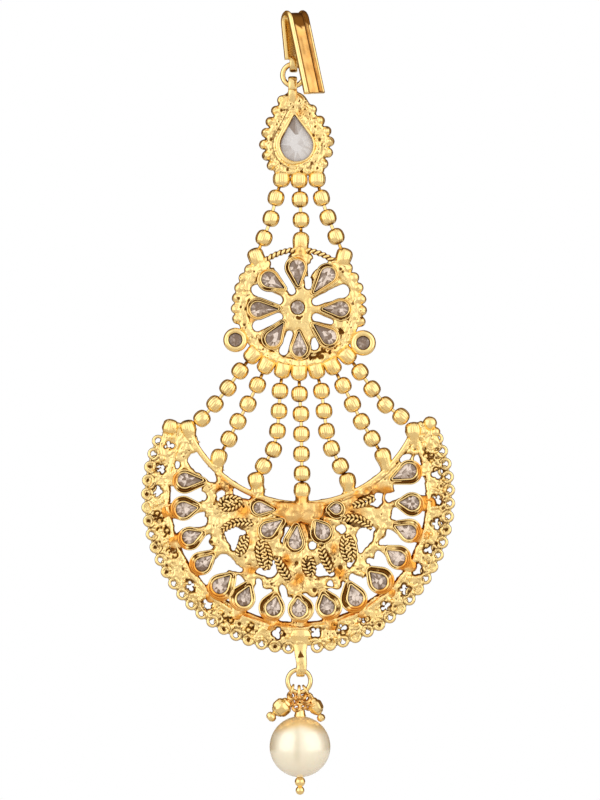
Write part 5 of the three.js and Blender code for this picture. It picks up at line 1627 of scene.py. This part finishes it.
class JHOOMAR_OT_pearl_drop(bpy.types.Operator):
    """Make the drop ring, the pearl on its pin, and the two small capped beads."""

    bl_idname = "jhoomar.pearl_drop"
    bl_label = "Pearl drop"

    def execute(self, context):
        make_piece("drop_link_ring", [link_ring(DROP_RING)], "polished_gold", ["drop_ring"], "drop_link")
        radius = context.scene.jhoomar_sizes.pearl_radius / MM
        make_piece("cream_pearl", [self.pearl(radius)], "nacre", ["pearl"], "pearl_drop")
        make_piece("pearl_pin_fine", self.pin(radius), "polished_gold", ["pearl_pin"], "pearl_drop")
        for name, row in DANGLES.items():
            make_piece(f"{name}_fine", self.dangle(*row), "polished_gold", [name], "pearl_drop")
        return {"FINISHED"}

    def pearl(self, radius):
        """A sphere, a hair longer than deep, its ends closed flat under the caps, with a painted dull stripe
        of reflection down it, a painted darker left edge, and painted amber reflection of the gold cap over
        its top and left edge.
        """
        rise = np.radians(np.linspace(-84, 84, 60))[:, None]
        a = circle(96)[None, :]
        r = radius * (1 + 0.004 * np.cos(2 * a) * np.cos(rise))
        x, y = PEARL["x"] + r * np.cos(rise) * np.cos(a), MID + 0.985 * r * np.cos(rise) * np.sin(a)
        z = PEARL["z"] + radius * 1.003 * np.sin(rise) + 0 * a
        dark_line = 0.45 * ridge(x + 0.45, 0.55) * ease(z, PEARL["z"] - 3.0, PEARL["z"] - 0.5)
        edge = 0.25 * ease(-x, 3.6, 4.9)
        amber = 0.85 * ease(z + 0.25 * np.abs(x), PEARL["z"] + 2.9, PEARL["z"] + 4.4) + 0.7 * edge
        return skin(np.stack([x, y, z], -1), shade=np.clip(dark_line + edge, 0, 1), solder=np.clip(amber, 0, 1))

    def pin(self, radius):
        """A turned cap and two balls on a wire, the wire's loop round the drop ring, and its tangle."""
        top, foot = PEARL["z"] + radius, PEARL["z"] - radius
        loop_z = DROP_RING["z"] - DROP_RING["mean"]
        # height, radius
        profile = np.array([
            (top + 2.7, 0.26), (top + 1.5, 0.28), (top + 1.42, 0.66), (top + 1.3, 0.78), (top + 1.1, 0.82),
            (top + 0.95, 0.76), (top + 0.75, 0.8), (top + 0.4, 0.83), (top + 0.12, 0.92), (top - 0.02, 0.98),
            (top - 0.08, 0.5),
        ])
        a = circle(28)[None, :]

        def turned(rows, flutes=0.0):
            """A profile of heights and radii turned round the pin, with eight shallow flutes if any."""
            r = rows[:, 1][:, None] * (1 + flutes * np.cos(8 * a))
            z = np.broadcast_to(rows[:, 0][:, None], r.shape)
            return skin(np.stack([PEARL["x"] + r * np.cos(a), MID + r * np.sin(a), z], -1))

        def ball(z, ball_radius):
            rise = np.radians(np.linspace(-80, 80, 15))
            return turned(np.stack([z + ball_radius * np.sin(rise), ball_radius * np.cos(rise)], -1))

        stem = turned(np.array([(foot + 0.3, 0.3), (foot - 2.3, 0.3)]))
        shells = [turned(profile, 0.03), stem, ball(foot - 0.78, 0.86), ball(foot - 2.2, 0.72)]
        shells.append(torus(DROP_RING["x"], loop_z, 1.0, 0.28, around="x", steps=30, sides=10))
        run = np.linspace(0, 1, 60)
        wrap = flat_path(0.6 * np.cos(run * 14), loop_z - 0.9 - 1.2 * run, MID + 0.55 * np.sin(run * 14))
        # The wrapped wire carries a little painted shade.
        shells.append(tube(wrap, 0.2, sides=8, shade=0.25))
        a = circle(26)
        for x, z, mean, lean in TANGLE:
            depth = MID - 0.5 + mean * lean * np.sin(a)
            path = flat_path(x + mean * np.cos(a), z + mean * 0.9 * np.sin(a), depth)
            # Painted warm shade among the tangled rings.
            dark = 0.4 + 0.35 * np.sin(3 * a + x)[:, None]
            shells.append(tube(path, 0.27, sides=8, closed=True, shade=dark, solder=0.55))
        return shells

    def dangle(self, at, neck, tip, width):
        """A turned body between two caps with a ball at its tip, hung by wire from the drop ring."""
        place = np.array(polar(*middle(DROP_RING), DROP_RING["mean"], at))
        neck, tip = np.array(neck), np.array(tip)
        span = np.hypot(*(tip - neck))
        # share of the span from the neck, radius as a share of half the width, painted shade
        rows = np.array([
            (0.0, 0.26, 0), (0.03, 0.5, 0.2), (0.1, 0.62, 0), (0.15, 0.66, 0.6), (0.18, 0.8, 0.1),
            (0.26, 0.97, 0), (0.4, 1.0, 0), (0.55, 0.97, 0), (0.63, 0.86, 0.1), (0.66, 0.72, 0.7),
            (0.69, 0.72, 0), (0.76, 0.5, 0), (0.8, 0.3, 0.8), (0.83, 0.32, 0.4), (0.88, 0.5, 0),
            (0.97, 0.58, 0), (1.07, 0.52, 0), (1.14, 0.3, 0),
        ])
        a = circle(32)[None, :]
        r = rows[:, 1][:, None] * width / 2 * (1 + 0.05 * np.cos(7 * a + width))
        along = np.broadcast_to(rows[:, 0][:, None] * span, r.shape)
        points = set_down(np.stack([r * np.cos(a), along], -1), *neck, bearing(*(tip - neck)), 0)
        points[..., 1] = MID + r * np.sin(a)
        shadow = 0.5 * ease(-np.cos(a - 0.6), 0.35, 0.9) * ease(rows[:, 0], 0.1, 0.2)[:, None]
        body = skin(points, shade=np.maximum(rows[:, 2][:, None], shadow), solder=0.12)
        turn = circle(30)
        toward = (neck - place) / np.hypot(*(neck - place))
        loop_x, loop_z = (place[n] + 0.85 * np.cos(turn) * toward[n] for n in (0, 1))
        loop = flat_path(loop_x, loop_z, MID + 0.85 * np.sin(turn))
        # The hanging wires carry painted shade.
        wire = tube(loop, 0.2, sides=8, closed=True, up=(toward[1], 0, -toward[0]), shade=0.4)
        run = np.linspace(0, 1, 50)
        start = place + 0.75 * toward
        line_x, line_z = (start[n] + (neck - start)[n] * run for n in (0, 1))
        coil = 0.34 * (0.6 + 0.4 * np.sin(run * 3))
        swing = coil * np.cos(run * 19)
        depth = MID + coil * np.sin(run * 19)
        path = flat_path(line_x + swing * toward[1], line_z - swing * toward[0], depth)
        return [body, wire, tube(path, 0.17, sides=8, shade=0.5, solder=0.3)]


# ---------------- stage


class JHOOMAR_OT_stage(bpy.types.Operator):
    """Make the pale floor, the soft studio lights and the camera."""

    bl_idname = "jhoomar.stage"
    bl_label = "Studio"

    def execute(self, context):
        studio = context.scene.jhoomar_studio
        self.floor()
        self.room(context.scene, studio)
        self.softbox("softbox_left", -1, studio.softbox)
        self.softbox("softbox_right", 1, studio.softbox)
        camera = add_object("camera", bpy.data.cameras.new("camera"))
        camera.data.lens = CAMERA["lens"]
        reach = CAMERA["span"] * CAMERA["lens"] / CAMERA["film"]
        camera.location = (0, MID * MM - reach, CAMERA["height"])
        camera.rotation_euler = (math.pi / 2, 0, 0)
        context.scene.camera = camera
        context.scene.view_settings.view_transform = "Standard"
        return {"FINISHED"}

    def floor(self):
        """A round pale floor: a disc and two rings about it."""
        a = circle(96)
        rows = np.array([0.15, 0.3, 0.45])[:, None, None] * np.stack([np.cos(a), np.sin(a), 0 * a], -1)
        rows[..., 2] = FLOOR_HEIGHT
        n = len(a)
        faces = [[i * n + j, (i + 1) * n + j, (i + 1) * n + (j + 1) % n, i * n + (j + 1) % n]
                 for i in range(2) for j in range(n)]
        mesh = bpy.data.meshes.new("floor")
        mesh.from_pydata(rows.reshape(-1, 3), [], [*faces, list(range(n))])
        finish = Finish(bpy.data.materials.new("pale_floor"))
        tint = finish.mix(finish.noise(60.0, 2.0), (0.86, 0.85, 0.83, 1), (0.9, 0.89, 0.87, 1))
        mesh.materials.append(finish.set(Base_Color=tint, Roughness=0.7))
        add_object("floor", mesh)

    def room(self, scene, studio):
        """White behind the ornament, dark screens round that, and a soft pale room in front and overhead."""
        scene.world = bpy.data.worlds.new("studio")
        finish = Finish(scene.world)
        tree = finish.tree
        tree.nodes.clear()
        direction = finish.node("ShaderNodeTexCoord", output="Generated")
        side, back, up = (finish.node("ShaderNodeSeparateXYZ", {}, {"Vector": direction}, axis)
                          for axis in "XYZ")
        behind = back.between(0.95, 0.99)
        ahead = (back * -1.0).between(-0.45, 0.25)
        gap = (1.0 - (side * side).between(0.02, 0.12)) * (back * -1.0).between(0.5, 0.9)
        low = (up * -1.0).between(0.25, 0.7)
        level = behind + ahead * studio.fill + low * 0.15 * (1.0 - behind) - gap * 0.15 * studio.fill
        level = level + studio.shadow
        tint = finish.mix((ahead + behind).between(0.0, 0.75), (1.0, 0.58, 0.22, 1), (1, 0.98, 0.95, 1))
        lamp = finish.node("ShaderNodeBackground", {}, {"Color": tint, "Strength": level})
        sight = finish.node("ShaderNodeBackground", {}, {"Color": (1, 1, 1, 1), "Strength": 1.0})
        seen = finish.node("ShaderNodeLightPath", output="Is Camera Ray")
        mixed = finish.node("ShaderNodeMixShader", {}, {0: seen, 1: lamp, 2: sight})
        out = tree.nodes.new("ShaderNodeOutputWorld")
        tree.links.new(mixed.socket, out.inputs["Surface"])

    def softbox(self, name, side, brightness):
        """A large lamp that looks at the ornament's middle; its power gives that brightness at any size."""
        width, height = SOFTBOX["width"], SOFTBOX["height"]
        light = bpy.data.lights.new(name, "AREA")
        light.shape, light.size, light.size_y = "RECTANGLE", width, height
        light.energy = brightness * math.pi * width * height
        lamp = add_object(name, light)
        x, y, z = SOFTBOX["side"] * side, SOFTBOX["near"], SOFTBOX["above"]
        lamp.location = (x, y, z + SOFTBOX["aim"])
        lamp.rotation_euler = (math.acos(z / math.hypot(x, y, z)), 0, math.atan2(y, x) + math.pi / 2)


# ---------------- panel and run


class JHOOMAR_PT_panel(bpy.types.Panel):
    """Lists the sizes, finishes and parts of the jhoomar."""

    bl_label = "Jhoomar"
    bl_idname = "JHOOMAR_PT_panel"
    bl_space_type = "VIEW_3D"
    bl_region_type = "UI"
    bl_category = "Jhoomar"

    def draw(self, context):
        for group in (getattr(context.scene, name) for name in GROUPS):
            box = self.layout.box()
            for name in group.bl_rna.properties.keys():
                if name not in ("rna_type", "name"):
                    box.prop(group, name)
        for operator in OPERATORS:
            self.layout.operator(operator.bl_idname)


GROUPS = {"jhoomar_sizes": JhoomarSizes, "jhoomar_finish": JhoomarFinish, "jhoomar_studio": JhoomarStudio}
OPERATORS = (
    JHOOMAR_OT_stage, JHOOMAR_OT_hook, JHOOMAR_OT_top_setting, JHOOMAR_OT_chains, JHOOMAR_OT_wheel,
    JHOOMAR_OT_crescent, JHOOMAR_OT_loops, JHOOMAR_OT_collets, JHOOMAR_OT_pads, JHOOMAR_OT_pearl_drop,
)


def register():
    for group in (*GROUPS.values(), *OPERATORS, JHOOMAR_PT_panel):
        bpy.utils.register_class(group)
    for name, group in GROUPS.items():
        setattr(bpy.types.Scene, name, bpy.props.PointerProperty(type=group))


def unregister():
    for name in GROUPS:
        delattr(bpy.types.Scene, name)
    for group in (JHOOMAR_PT_panel, *reversed(OPERATORS), *GROUPS.values()):
        bpy.utils.unregister_class(group)


def main():
    """Makes the whole ornament."""
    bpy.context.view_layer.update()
    register()
    for operator in OPERATORS:
        family, action = operator.bl_idname.split(".")
        getattr(getattr(bpy.ops, family), action)()


if __name__ == "__main__":
    main()
